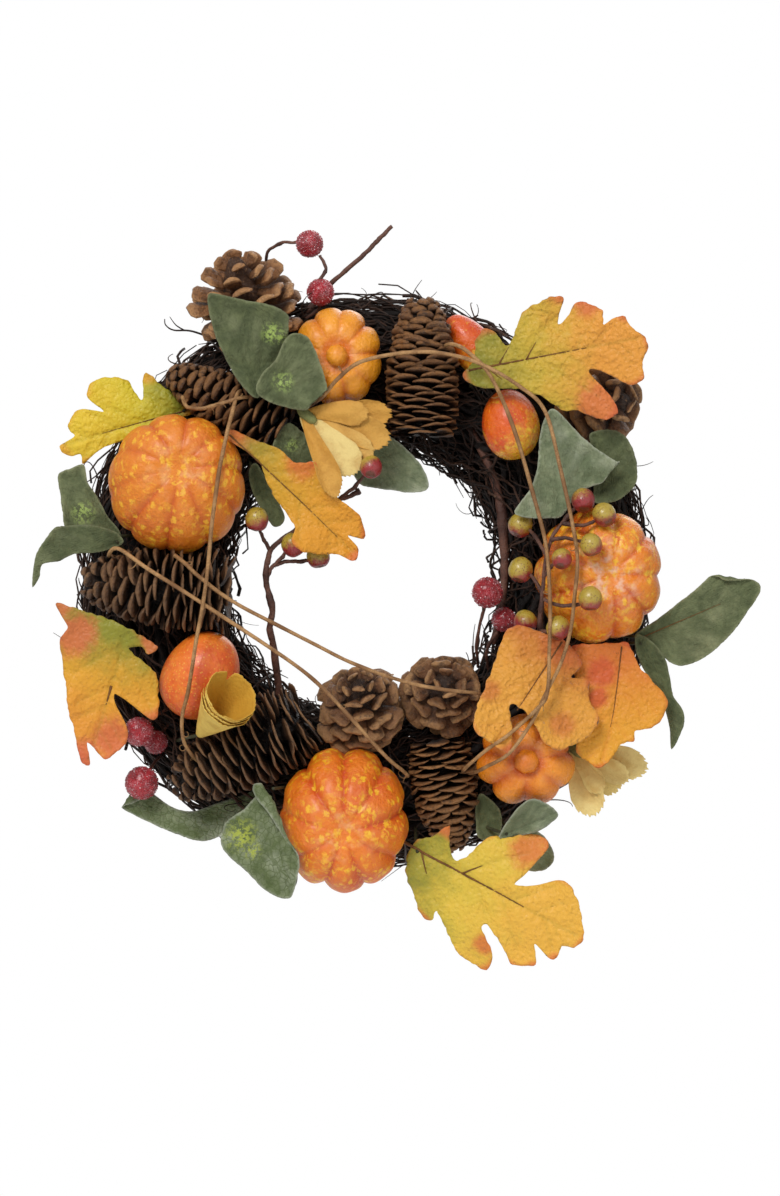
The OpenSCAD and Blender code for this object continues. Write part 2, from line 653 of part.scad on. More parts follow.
// A rolled paper cup: a thin cone-shaped wall that is open towards the viewer
module bloom_rolled() {
    wall = 1;
    depth = 35;
    mouth_r = 13;
    foot_r = 2.5;
    color(cream) {
        at(223, 6.5, 43) aim(49, 45) rotate_extrude()
            polygon([
                [0, 0], [foot_r, 0], [mouth_r, depth], [mouth_r - wall, depth], [foot_r - wall, wall], [0, wall]]);
        branch([[-79.6, -74.2, 43.6], [-86, -76, 34], [-92, -78, 14]], leaf_stem_d / 2, leaf_stem_d / 2);
    }
}

module bloom_corner() {
    color(cream) at(321, 27, 24) lay(320, 4, 0) leaf(bloom_corner_pts, [-6, -10, -18], [1, 4]);
}

// ---- Berries ----

module frosted_berries() {
    color(crimson) berries(frosted_list);
}

module frosted_berry_stems() {
    r = berry_stem_d / 2;
    color(vine_brown) {
        branch([[-38, 126, 4], [-42, 140, 0], [-48, 152, 4], [-47, 160, 12], [-40, 163.5, 18], [-33, 163.5, 21]], r, r);
        branch([[-29, 127, 13.5], [-23, 131, 17], [-22, 136, 20]], r, r);
        branch([[-24, 143, 26], [-19, 150, 25], [-22, 157, 24]], r, r);
        branch([[-92, -66, 12], [-98, -73, 16], [-100, -76, 17]], r, r);
        branch([[-95, -62, 14], [-102, -66, 24], [-106, -70, 30]], r, r);
        branch([[-98, -84, 6], [-102, -88, 14], [-105, -93, 20]], r, r);
        branch([[55, -42, 6], [54, -30, 18], [57, -15, 27], [58, -11, 28]], r, r);
        branch([[60, -44, 6], [59, -34, 14], [64, -25, 20]], r, r);
    }
}

module spray_left_berries() {
    color(berry_red) berries(spray_left_list);
}

module spray_left_stem() {
    r = berry_stem_d / 2;
    color(vine_brown) {
        branch([[-42, -56, 6], [-44, -35, 16], [-46, -24, 22], [-45, -13, 26], [-48, 1, 28], [-46, 14, 30]], 2, 1.3);
        branch([[-47, 8, 29], [-46, 14, 30], [-49, 20, 33], [-51, 25, 36]], 1.2, r);
        branch([[-47, 8, 29], [-45, 15, 30], [-33, 25, 34], [-24, 34, 36], [-13, 38.5, 38], [-5, 45, 41], [0, 50, 46]], 1.3, r);
        branch([[-48, 0, 28], [-45, 6, 29], [-40, 11, 31], [-38, 14, 32.5]], 1.1, r);
        branch([[-44, 7, 29], [-38, 9, 29], [-31, 9, 29], [-26, 10, 30.5]], 1.1, r);
        branch([[-13, 38.5, 38], [-8, 40, 37], [-2.4, 43, 36]], 0.9, 1.4);
    }
}

module spray_right_berries() {
    color(berry_red) berries(spray_right_list);
}

module spray_right_stem() {
    r = berry_stem_d / 2;
    color(vine_brown) {
        branch([
            [68, -46, 10], [73, -38, 26], [82, -28, 44], [84, -16, 54], [85, 0, 56], [89, 20, 56],
            [96, 29, 54]], 1.3, r);
        branch([[75, -35, 30], [76, -30, 36], [77, -25, 40]], 1, r);
        branch([[83, -24, 48], [86, -24.5, 53], [88.5, -24, 55]], 1, r);
        branch([[84.5, -6, 55.5], [81, 0, 54], [78.5, 3, 52]], 1, r);
        branch([[84.5, -9, 55.5], [92, -12, 59.5], [99.5, -12, 61.9], [104, -11, 65.5]], 1, r);
        branch([[85, 1, 56], [87.5, 5, 59], [90, 8, 62.8]], 1, r);
        branch([[87, 11, 56], [82, 20, 48], [79, 24, 42]], 1, r);
        branch([[88.5, 19, 56], [95, 20, 58.5], [100, 19, 60.5], [104, 18, 64]], 1, r);
        branch([[94, 27, 55], [104, 26, 59], [111, 29, 58.5]], 1, r);
        branch([[94, 27, 55], [99, 33, 54], [102, 36, 53.5]], 1, r);
    }
}

// ---- Dried tendrils ----

module tendril_left() {
    r = tendril_d / 2;
    color(tendril_tan) {
        branch(tendril_left_upper, r, r);
        branch(tendril_left_lower, r, r);
    }
}

module tendril_cross() {
    r = tendril_d / 2;
    color(tendril_tan) {
        branch(tendril_cross_upper, r, r);
        branch(tendril_cross_lower, r, r);
    }
}

module tendril_right() {
    r = tendril_d / 2;
    color(tendril_tan) {
        branch(tendril_arch, r, r);
        branch(tendril_inner, r, r);
    }
}

hanger_loop();
hanger_strap();
hanger_tie();
wire_frame();
twig_ring();
binding_wire();
wire_picks();
vine_cane();
bare_twig();
pumpkin_left();
pumpkin_top();
pumpkin_right();
pumpkin_bottom();
pumpkin_corner();
gourd_top();
gourd_right();
gourd_left();
cone_top_left();
cone_upper_left();
cone_top();
cone_left();
cone_lower_left();
cone_bottom_left();
cone_bottom_middle();
cone_bottom_right();
cone_top_right();
oak_leaf_upper_left();
oak_leaf_inner();
oak_leaf_lower_left();
oak_leaf_top_right();
oak_leaf_front_right();
oak_leaf_lower_right();
oak_leaf_bottom();
sage_leaf_top();
sage_leaf_top_fold();
sage_leaf_left();
sage_leaf_left_droop();
sage_leaf_inner_top();
sage_leaves_inner_left();
sage_leaf_right_inner();
sage_leaf_right_outer();
sage_leaf_far_right();
sage_leaf_right_droop();
sage_leaf_bottom_left();
sage_leaf_bottom_fold();
sage_leaf_corner_upper();
sage_leaf_corner_lower();
sage_leaf_corner_inner();
bloom_top();
bloom_rolled();
bloom_corner();
frosted_berries();
frosted_berry_stems();
spray_left_berries();
spray_left_stem();
spray_right_berries();
spray_right_stem();
tendril_left();
tendril_cross();
tendril_right();
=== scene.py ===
"""The looks of the harvest door wreath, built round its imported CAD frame. Metres, row frame."""

import math

import bmesh
import bpy
import numpy as np
from mathutils import Matrix, Vector, geometry, noise


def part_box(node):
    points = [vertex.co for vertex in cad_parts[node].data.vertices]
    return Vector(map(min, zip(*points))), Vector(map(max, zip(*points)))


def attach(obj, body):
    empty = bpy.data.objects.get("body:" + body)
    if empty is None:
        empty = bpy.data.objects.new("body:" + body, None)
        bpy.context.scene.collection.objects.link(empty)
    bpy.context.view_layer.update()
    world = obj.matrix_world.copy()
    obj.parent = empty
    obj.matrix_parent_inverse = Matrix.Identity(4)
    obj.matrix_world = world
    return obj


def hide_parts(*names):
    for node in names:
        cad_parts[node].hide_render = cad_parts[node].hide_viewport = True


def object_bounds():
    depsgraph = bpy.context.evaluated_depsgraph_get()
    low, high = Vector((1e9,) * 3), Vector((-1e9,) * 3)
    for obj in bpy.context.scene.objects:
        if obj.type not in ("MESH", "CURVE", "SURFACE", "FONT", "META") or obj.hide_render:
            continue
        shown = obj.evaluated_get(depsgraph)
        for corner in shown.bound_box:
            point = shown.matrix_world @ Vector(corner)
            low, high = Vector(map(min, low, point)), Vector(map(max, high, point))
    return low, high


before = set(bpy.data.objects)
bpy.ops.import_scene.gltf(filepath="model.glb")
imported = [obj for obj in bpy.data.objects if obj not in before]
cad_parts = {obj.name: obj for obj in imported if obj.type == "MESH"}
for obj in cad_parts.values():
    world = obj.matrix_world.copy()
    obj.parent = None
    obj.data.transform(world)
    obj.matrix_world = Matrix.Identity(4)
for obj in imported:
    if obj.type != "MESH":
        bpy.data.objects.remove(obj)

CAD_LOW, CAD_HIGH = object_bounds()
MM = 0.001
# A whole turn in radians, rounded
FULL_TURN = 6.283
GOLDEN_ANGLE = math.radians(137.508)


# ---- What the frame says ----


def cad_points(node):
    """A CAD node's vertices."""
    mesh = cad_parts[node].data
    points = np.empty(len(mesh.vertices) * 3)
    mesh.vertices.foreach_get("co", points)
    return points.reshape(-1, 3)


def cad_solids(node):
    """A CAD node's separate solids, each as a bmesh."""
    whole = bmesh.new()
    whole.from_mesh(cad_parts[node].data)
    same_place = 0.001 * MM
    bmesh.ops.remove_doubles(whole, verts=whole.verts, dist=same_place)
    left, solids = set(whole.verts), []
    while left:
        island, edge = set(), [next(iter(left))]
        while edge:
            v = edge.pop()
            if v in island:
                continue
            island.add(v)
            edge.extend(e.other_vert(v) for e in v.link_edges)
        left -= island
        solids.append(island)
    found = []
    for island in sorted(solids, key=lambda s: tuple(min(v.co[:] for v in s))):
        one = whole.copy()
        one.verts.ensure_lookup_table()
        kept = {v.index for v in island}
        bmesh.ops.delete(one, geom=[v for v in one.verts if v.index not in kept], context="VERTS")
        found.append(one)
    return found


ring_low, ring_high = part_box("twig_ring")
CENTRE = (ring_low + ring_high) / 2
ring_points = cad_points("twig_ring")
ring_reach = np.hypot(ring_points[:, 0] - CENTRE.x, ring_points[:, 2] - CENTRE.z)
RING_R = (ring_reach.max() + ring_reach.min()) / 2
HALF_W = (ring_reach.max() - ring_reach.min()) / 2
HALF_D = (ring_high.y - ring_low.y) / 2


def spot(across, up, forward):
    """A point given in millimetres from the ring's centre."""
    return np.array([CENTRE.x + across * MM, CENTRE.y - forward * MM, CENTRE.z + up * MM])


def route(points):
    """Route points listed as in the CAD source."""
    return np.array([spot(*p) for p in points])


def aim(spin, lift):
    """Turns +Z to `spin` degrees in the wreath's plane, then lifts it towards the viewer."""
    turn = Matrix.Rotation(math.radians(90 - spin), 3, "Y") @ Matrix.Rotation(math.radians(lift), 3, "X")
    return np.array(turn)


def spindle(node, spin, lift):
    """The centre, axes, length and diameter of a CAD solid that is round about its aimed axis."""
    axes = aim(spin, lift)
    local = cad_points(node) @ axes
    low, high = local.min(0), local.max(0)
    return axes @ ((low + high) / 2), axes, high[2] - low[2], high[0] - low[0]


# ---- Curves and meshes ----


def between(a, b, c, d, t):
    """The smooth curve that runs from b to c as t goes from 0 to 1, with a before b and d after c."""
    return 0.5 * (2 * b + (c - a) * t + (2 * a - 5 * b + 4 * c - d) * t**2 + (3 * b - a - 3 * c + d) * t**3)


def smooth(points, steps):
    """A smooth curve through the points, with that many steps from each one to the next."""
    p = np.asarray(points, float)
    padded = np.vstack([p[:1], p, p[-1:]])
    out = []
    for a, b, c, d in zip(padded, padded[1:], padded[2:], padded[3:]):
        out.extend(between(a, b, c, d, t) for t in np.arange(steps) / steps)
    return np.array(out + [p[-1]])


def smooth_loop(points, steps):
    """A closed smooth curve through the points."""
    p = np.asarray(points, float)
    a, b, c, d = (np.roll(p, back, 0)[:, None] for back in (1, 0, -1, -2))
    t = (np.arange(steps) / steps)[None, :, None]
    return between(a, b, c, d, t).reshape(-1, p.shape[1])


def spaced(points, step):
    """The same closed line with points about `step` apart."""
    p = np.vstack([points, points[:1]])
    along = np.concatenate([[0], np.cumsum(np.linalg.norm(np.diff(p, axis=0), axis=1))])
    at = np.linspace(0, along[-1], max(8, int(along[-1] / step)) + 1)[:-1]
    return np.column_stack([np.interp(at, along, p[:, k]) for k in range(p.shape[1])])


def unit(v):
    """The same directions, each one long."""
    return v / np.maximum(np.linalg.norm(v, axis=-1, keepdims=True), 1e-12)


def step_up(x, low, high):
    """0 below low, 1 above high, smooth between."""
    t = np.clip((x - low) / (high - low), 0, 1)
    return t * t * (3 - 2 * t)


def rough(points, scale, seed):
    """Smooth noise from -1 to 1 at each point, with bumps about 1/scale apart."""
    shift = Vector((seed * 7.31, seed * 3.17, seed * 5.77))
    return np.array([noise.noise(Vector(p) * scale + shift) for p in points])


class Heap:
    """One mesh collected from parts, with a number at each vertex for every named attribute."""

    def __init__(self, *names):
        self.names = names
        self.points, self.faces, self.slots, self.count = [], [], [], 0
        self.values = {n: [] for n in names}

    def add(self, points, faces, slot=0, **values):
        """Adds a part: its slot is the place of its material in the list that build is given."""
        points = np.asarray(points, float)
        self.points.append(points)
        self.faces.extend([tuple(i + self.count for i in f) for f in faces])
        self.slots.extend([slot] * len(faces))
        for n in self.names:
            self.values[n].append(np.broadcast_to(np.asarray(values.get(n, 0.0), float), len(points)))
        self.count += len(points)

    def build(self, name, materials, slot, replaces=()):
        """Makes the piece, which rides the wreath and may stand in for CAD nodes."""
        mesh = bpy.data.meshes.new(name)
        mesh.from_pydata(np.vstack(self.points).tolist(), [], self.faces)
        for n in self.names:
            layer = mesh.attributes.new(n, "FLOAT", "POINT")
            layer.data.foreach_set("value", np.concatenate(self.values[n]).astype(np.float32))
        mesh.polygons.foreach_set("material_index", self.slots)
        mesh.shade_smooth()
        for m in materials:
            mesh.materials.append(m)
        piece = bpy.data.objects.new(name, mesh)
        bpy.context.scene.collection.objects.link(piece)
        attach(piece, "wreath")
        if replaces:
            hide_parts(*replaces)
        return piece


def strip(rows, columns, closed=True):
    """Faces between `rows` rings of `columns` points each."""
    faces = []
    for i in range(rows - 1):
        for j in range(columns if closed else columns - 1):
            k = (j + 1) % columns
            faces.append((i * columns + j, i * columns + k, (i + 1) * columns + k, (i + 1) * columns + j))
    return faces


def capped(rows, columns):
    """The faces of a stack of rings with both ends closed."""
    last = (rows - 1) * columns
    start = tuple(range(columns - 1, -1, -1))
    return strip(rows, columns) + [start, tuple(last + j for j in range(columns))]


def sheet_faces(rows, columns):
    """The faces of a thin sheet: its front grid, its back grid and the rim that joins them."""
    count = rows * columns
    faces = strip(rows, columns, closed=False)
    faces += [tuple(count + k for k in reversed(face)) for face in faces]
    up_left = [i * columns for i in range(rows)]
    along_top = [(rows - 1) * columns + j for j in range(1, columns)]
    down_right = [i * columns + columns - 1 for i in range(rows - 2, -1, -1)]
    rim = up_left + along_top + down_right + list(range(columns - 2, 0, -1))
    return faces + [(p, q, count + q, count + p) for p, q in zip(rim, rim[1:] + rim[:1])]


def tube(points, radii, sides):
    """A round tube along the points, with its own radius at each of them."""
    points = np.asarray(points, float)
    radii = np.broadcast_to(np.asarray(radii, float), len(points))
    ahead = unit(np.gradient(points, axis=0))
    side = np.cross(ahead[0], [0.3, 0.9, 0.2])
    sides_at = []
    for a in ahead:
        side = side - side.dot(a) * a
        side = side / max(np.linalg.norm(side), 1e-9)
        sides_at.append(side)
    u = np.array(sides_at)
    v = np.cross(ahead, u)
    turn = np.linspace(0, 2 * math.pi, sides, endpoint=False)
    rings = points[:, None] + radii[:, None, None] * (
        np.cos(turn)[None, :, None] * u[:, None] + np.sin(turn)[None, :, None] * v[:, None])
    return rings.reshape(-1, 3), capped(len(points), sides)


def wander(rng, t, size, waves):
    """A wandering line: three sine waves with random phases."""
    return sum(size / k * np.sin(2 * math.pi * waves * k * t + rng.uniform(0, 7)) for k in (1, 2, 3))


# ---- Materials ----


class Recipe:
    """A node-based material on the Principled shader. Keywords set its sockets, _ for a space."""

    # Where the Mix node keeps its colour sockets, since others have the same names
    COLOUR_A, COLOUR_B, MIXED_COLOUR = 6, 7, 2

    def __init__(self, name, **sockets):
        self.material = bpy.data.materials.new(name)
        self.material.use_nodes = True
        self.tree = self.material.node_tree
        self.shader = next(n for n in self.tree.nodes if n.type == "BSDF_PRINCIPLED")
        for socket, value in sockets.items():
            self.shader.inputs[socket.replace("_", " ")].default_value = value
        self.place = self.node("ShaderNodeTexCoord").outputs["Object"]

    def node(self, kind, **settings):
        """A new node with those settings."""
        made = self.tree.nodes.new(kind)
        for k, v in settings.items():
            setattr(made, k, v)
        return made

    def feed(self, socket, value):
        """Links a socket to the value, or sets it."""
        if isinstance(value, bpy.types.NodeSocket):
            self.tree.links.new(value, socket)
        else:
            socket.default_value = value

    def noise(self, scale, detail=3.0, roughness=0.55, distortion=0.0, vector=None):
        """Noise from 0 to 1 on the object's own coordinates, or on the vector."""
        made = self.node("ShaderNodeTexNoise")
        self.feed(made.inputs["Vector"], vector or self.place)
        settings = {"Scale": scale, "Detail": detail, "Roughness": roughness, "Distortion": distortion}
        for k, v in settings.items():
            made.inputs[k].default_value = v
        return made.outputs["Fac"]

    def patches(self, low, high, *texture, **more):
        """Noise as soft patches: none where it is below low, full where it is above high."""
        return self.span(self.noise(*texture, **more), low, high)

    def waver(self, amount, *texture):
        """Noise centred on zero, as wide as the amount."""
        return self.times(self.math("SUBTRACT", self.noise(*texture), 0.5), amount)

    def cells(self, scale, feature="F1", vector=None):
        """The distance to the middle (or the edge) of a random cell."""
        made = self.node("ShaderNodeTexVoronoi", feature=feature)
        self.feed(made.inputs["Vector"], vector or self.place)
        made.inputs["Scale"].default_value = scale
        return made.outputs["Distance"]

    def stretched(self, x, y, z):
        """The object's coordinates, scaled along each axis."""
        made = self.node("ShaderNodeMapping")
        self.feed(made.inputs["Vector"], self.place)
        made.inputs["Scale"].default_value = (x, y, z)
        return made.outputs["Vector"]

    def attribute(self, name):
        """The number that the mesh has under that name at each vertex."""
        return self.node("ShaderNodeAttribute", attribute_name=name).outputs["Fac"]

    def span(self, value, low, high, to_low=0.0, to_high=1.0):
        """The value carried smoothly from one range to another, and held at its ends."""
        made = self.node("ShaderNodeMapRange", interpolation_type="SMOOTHSTEP")
        self.feed(made.inputs["Value"], value)
        for k, v in (("From Min", low), ("From Max", high), ("To Min", to_low), ("To Max", to_high)):
            made.inputs[k].default_value = v
        return made.outputs["Result"]

    def math(self, operation, a, b):
        """One sum on two values."""
        made = self.node("ShaderNodeMath", operation=operation)
        self.feed(made.inputs[0], a)
        self.feed(made.inputs[1], b)
        return made.outputs[0]

    def times(self, a, b):
        return self.math("MULTIPLY", a, b)

    def plus(self, a, b):
        return self.math("ADD", a, b)

    def mix(self, a, b, factor, share=1.0):
        """From a to b by the factor, and by no more than the share."""
        made = self.node("ShaderNodeMix", data_type="RGBA")
        self.feed(made.inputs["Factor"], factor if share == 1.0 else self.times(factor, share))
        self.feed(made.inputs[self.COLOUR_A], a)
        self.feed(made.inputs[self.COLOUR_B], b)
        return made.outputs[self.MIXED_COLOUR]

    def finish(self, colour, texture, smoothest, roughest, *layers, spread=(0.3, 0.7)):
        """Sets the colour, a roughness that follows a texture, and bumps: each (height, depth in metres)."""
        self.feed(self.shader.inputs["Base Color"], colour)
        self.feed(self.shader.inputs["Roughness"], self.span(texture, *spread, smoothest, roughest))
        normal = None
        for height, depth in layers:
            made = self.node("ShaderNodeBump")
            made.inputs["Distance"].default_value = depth
            self.feed(made.inputs["Height"], height)
            if normal:
                self.feed(made.inputs["Normal"], normal)
            normal = made.outputs["Normal"]
        self.feed(self.shader.inputs["Normal"], normal)
        return self.material


def rgb(r, g, b):
    """A colour as seen on a screen, from 0 to 255 each, in linear light."""
    linear = [((c / 255 + 0.055) / 1.055) ** 2.4 if c > 10 else c / 255 / 12.92 for c in (r, g, b)]
    return (*linear, 1.0)


def bark(name, dark, light, fleck):
    """Dry twigs: a dark skin with lengthwise streaks, and another tone on each twig."""
    m = Recipe(name, Specular_IOR_Level=0.35)
    tone = m.attribute("tone")
    streak = m.times(m.patches(0.35, 0.75, 900, 4, 0.6), 0.3)
    skin = m.mix(dark, light, m.plus(m.times(tone, 0.75), streak))
    skin = m.mix(skin, fleck, m.times(m.patches(0.6, 0.75, 260, 3), m.span(tone, 0.4, 0.9)))
    return m.finish(skin, m.noise(1400, 2), 0.45, 0.75, (m.noise(1600, 4, 0.7), 0.0005),
                    (m.noise(400, 3), 0.0006))


def dried_stem(name, dark, light, gloss):
    """A smooth dried stem or tendril with long fibres and darker joints."""
    m = Recipe(name, Specular_IOR_Level=0.4)
    fibre = m.noise(1500, 4, 0.6)
    streak = m.times(m.span(fibre, 0.3, 0.7), 0.5)
    skin = m.mix(dark, light, m.plus(streak, m.times(m.patches(0.35, 0.65, 120, 3), 0.5)))
    skin = m.mix(skin, dark, m.attribute("knot"), 0.8)
    return m.finish(skin, fibre, gloss, gloss + 0.2, (fibre, 0.0004), (m.noise(500, 3), 0.0005))


def cone_wood(name, core, body, tip, root_shade_to=0.75, pale_from=0.74):
    """Woody cone scales: painted shade at their roots, paler and ridged at their ends, a painted highlight on
    their edges.
    """
    m = Recipe(name, Specular_IOR_Level=0.5)
    along, tone, rim = m.attribute("along"), m.attribute("tone"), m.attribute("rim")
    grain = m.noise(700, 5, 0.65)
    ragged = m.math("SUBTRACT", grain, 0.5)
    spread = m.plus(along, m.times(ragged, 0.3))
    body = m.mix(body, core, m.span(tone, 0.45, 1.0), 0.55)
    # Painted shade: near its root, where it meets the core, the scale is drawn in the first colour
    skin = m.mix(core, body, m.span(spread, root_shade_to - 0.5, root_shade_to))
    pale_end = m.times(m.span(spread, pale_from, pale_from + 0.24), m.plus(m.times(tone, 0.8), 0.1))
    skin = m.mix(skin, tip, pale_end)
    skin = m.mix(skin, core, m.patches(0.46, 0.66, 260, 5, 0.7), 0.7)
    skin = m.mix(skin, tip, m.patches(0.56, 0.7, 900, 4, 0.7), 0.45)
    # Painted highlight: the pale colour along the scale's sides and end
    skin = m.mix(skin, tip, m.span(m.plus(rim, m.times(ragged, 0.7)), 0.7, 1.1), 0.5)
    return m.finish(skin, grain, 0.34, 0.66, (grain, 0.0015), (m.noise(2200, 3), 0.0003),
                    (m.noise(300, 3), 0.0014))


def pumpkin_paint(name, base, groove, fleck, pale, gloss, fleck_share, highlight_share=0.55):
    """Painted foam: orange, darker in the grooves, yellow flecks, painted shade by a nub and a painted
    highlight in front.
    """
    m = Recipe(name, Specular_IOR_Level=0.5, Coat_Weight=0.25, Coat_Roughness=0.25)
    skin = m.mix(base, groove, m.patches(0.42, 0.7, 45, 4, 0.6), 0.5)
    # The groove number holds the grooves and the painted shade round a nub
    skin = m.mix(skin, groove, m.attribute("groove"), 0.8)
    mottle = m.patches(0.66 - fleck_share, 0.76 - fleck_share * 0.5, 230, 5, 0.65, 0.8)
    area = m.times(m.patches(0.36, 0.6, 70, 2, 0.5), 0.75)
    skin = m.mix(skin, fleck, m.times(mottle, m.plus(area, 0.2)))
    if fleck_share:
        spots = m.plus(m.cells(270, vector=m.stretched(1, 1, 0.6)), m.waver(0.8, 800, 3))
        spots = m.times(m.span(spots, 0.42, 0.24), m.patches(0.42, 0.56, 120, 4, 0.6))
        skin = m.mix(skin, fleck, spots, 0.8)
    # Painted highlight: the pale colour in patches over the front, where the pumpkin faces the viewer
    painted_highlight = m.times(m.attribute("pole"), m.patches(0.45, 0.7, 150, 4, 0.6))
    skin = m.mix(skin, pale, painted_highlight, highlight_share)
    return m.finish(skin, m.noise(300, 3), gloss, gloss + 0.2, (m.noise(420, 4, 0.6), 0.0012),
                    (m.noise(2400, 2), 0.0002))


def gourd_paint(name, base, warm, yellow, blotch, gloss=0.2, bare=0.5):
    """Painted foam that fades from red-orange to yellow, with blotches and a fine speckle."""
    m = Recipe(name, Specular_IOR_Level=0.5, Coat_Weight=0.3, Coat_Roughness=0.2)
    skin = m.mix(base, warm, m.patches(0.35, 0.65, 70, 4, 0.6))
    turn = m.span(m.plus(m.attribute("fade"), m.waver(1.3, 220, 4, 0.65)), 0.5, 1.0)
    fine = m.times(m.patches(0.42, 0.6, 520, 5, 0.7, 0.5), 0.6)
    skin = m.mix(skin, yellow, m.times(turn, m.plus(fine, 0.4)))
    skin = m.mix(skin, yellow, m.patches(0.58, 0.7, 150, 4, 0.65, 0.8), blotch)
    speck = m.times(m.span(m.cells(600), 0.3, 0.12), m.patches(bare, bare + 0.15, 160, 2))
    skin = m.mix(skin, yellow, speck, 0.8)
    return m.finish(skin, m.noise(350, 3), gloss, gloss + 0.18, (m.noise(380, 4), 0.0009),
                    (m.noise(2500, 2), 0.0002))


def oak_cloth(name, olive, yellow, gold, red, sheen, patch=0.0):
    """Autumn leaf cloth: olive at the base, yellow to gold, orange-red lobe tips, embossed grain."""
    m = Recipe(name, Specular_IOR_Level=0.45, Sheen_Weight=sheen, Sheen_Roughness=0.4)
    blur = m.waver(0.45, 90, 4, 0.6)
    along = m.plus(m.attribute("along"), blur)
    skin = m.mix(olive, yellow, m.span(along, 0.02, 0.42))
    skin = m.mix(skin, gold, m.span(along, 0.3, 0.8))
    skin = m.mix(skin, red, m.span(m.plus(m.attribute("tip"), blur), 0.3, 1.05), 0.75)
    if patch:
        ragged = m.plus(blur, m.waver(0.9, 240, 5, 0.7))
        skin = m.mix(skin, red, m.span(m.plus(m.attribute("spotted"), ragged), 0.2, 0.95), patch)
    fine = m.noise(1400, 3, 0.6)
    skin = m.mix(skin, olive, m.attribute("vein"), 0.28)
    skin = m.mix(skin, rgb(120, 66, 20), m.span(fine, 0.56, 0.8), 0.22)
    emboss = m.cells(620, "SMOOTH_F1")
    return m.finish(skin, emboss, 0.36, 0.62, (emboss, 0.0006), (m.noise(420, 4, 0.6), 0.0005),
                    (m.cells(380), 0.0022 * sheen), (fine, 0.00015), spread=(0.1, 0.6))


def sage_cloth(name, deep, mid, pale, mottle, crackle):
    """Green leaf cloth: matte, brushed with paler patches, with yellow-green mottles and veins."""
    m = Recipe(name, Specular_IOR_Level=0.35, Sheen_Weight=0.05, Sheen_Roughness=0.6)
    skin = m.mix(deep, mid, m.patches(0.35, 0.65, 70, 5, 0.65, 0.5))
    skin = m.mix(skin, pale, m.patches(0.45, 0.75, 38, 4, 0.6), 0.6)
    crack = m.cells(330, "DISTANCE_TO_EDGE")
    skin = m.mix(skin, deep, m.span(crack, 0.09, 0.02), crackle)
    spot = m.patches(0.46, 0.56, 520, 4, 0.7, vector=m.stretched(1, 1, 0.5))
    skin = m.mix(skin, mottle, m.times(m.attribute("spotted"), spot))
    skin = m.mix(skin, pale, m.attribute("rim"), 0.55)
    skin = m.mix(skin, deep, m.attribute("vein"), 0.5)
    fine = m.noise(1700, 3, 0.6)
    threads = [m.noise(1, 2, vector=m.stretched(*scale)) for scale in ((1900, 300, 300), (300, 300, 1900))]
    return m.finish(skin, fine, 0.62, 0.82, (crack, 0.0004 + 0.0008 * crackle), (fine, 0.0002),
                    (m.noise(300, 4), 0.0006), (m.times(*threads), 0.0012))


def petal_paper(name, shade, body, pale):
    """Mustard paper with a soft vertical grain, and painted light: paler where it faces up."""
    m = Recipe(name, Specular_IOR_Level=0.3)
    grain = m.noise(1, 4, 0.6, vector=m.stretched(900, 900, 220))
    # Painted light: the pale colour where the mesh's pale number is high
    skin = m.mix(body, pale, m.span(m.plus(m.attribute("pale"), m.times(grain, 0.3)), 0.3, 1.1))
    skin = m.mix(skin, shade, m.patches(0.42, 0.72, 140, 4), 0.5)
    return m.finish(skin, grain, 0.6, 0.8, (grain, 0.0004), (m.noise(900, 3), 0.0003))


def berry_skin(name, red, green, dark):
    """A small waxy berry that turns from red to yellow-green, finely speckled."""
    m = Recipe(name, Specular_IOR_Level=0.55, Coat_Weight=0.4, Coat_Roughness=0.15)
    skin = m.mix(green, red, m.span(m.plus(m.attribute("ripe"), m.waver(0.7, 420, 4, 0.6)), 0.3, 0.75))
    speck = m.times(m.span(m.cells(900), 0.42, 0.16), m.patches(0.36, 0.56, 260, 3))
    skin = m.mix(m.mix(skin, dark, speck, 0.75), dark, m.attribute("eye"))
    return m.finish(skin, m.noise(900, 2), 0.25, 0.45, (m.noise(1500, 3), 0.0003), (m.noise(500, 3), 0.0004))


def sugar_skin():
    """The frosted berries' crimson skin."""
    m = Recipe("sugar_skin", Specular_IOR_Level=0.6, Coat_Weight=0.5, Coat_Roughness=0.2, Sheen_Weight=0.1)
    skin = m.mix(rgb(138, 6, 22), rgb(190, 18, 38), m.patches(0.35, 0.65, 260, 4))
    frost = m.times(m.patches(0.46, 0.64, 1600, 3, 0.7), m.patches(0.44, 0.62, 210, 3, 0.5, 0.6))
    skin = m.mix(skin, rgb(226, 164, 172), frost, 0.75)
    return m.finish(skin, m.noise(1800, 2), 0.3, 0.6, (m.cells(1900), 0.0006), (m.noise(900, 3), 0.0004))


def sugar_grain():
    """Clear sugar beads on the frosted berries."""
    m = Recipe("sugar_grain", Specular_IOR_Level=0.6, Coat_Weight=0.6, Coat_Roughness=0.1)
    skin = m.mix(rgb(168, 14, 34), rgb(240, 196, 202), m.span(m.attribute("tone"), 0.62, 1.0))
    return m.finish(skin, m.noise(2600, 2), 0.12, 0.35, (m.noise(3000, 2), 0.0002))


def metal(name, light, dark, bare):
    """Bare drawn steel or coated wire, with faint draw marks and worn spots."""
    m = Recipe(name, Metallic=bare, Specular_IOR_Level=0.5)
    draw = m.noise(1800, 3)
    worn = m.times(m.patches(0.5, 0.8, 300, 4), 0.5)
    skin = m.mix(light, dark, m.plus(m.times(m.span(draw, 0.3, 0.7), 0.4), worn))
    return m.finish(skin, draw, 0.28, 0.5, (draw, 0.0001))


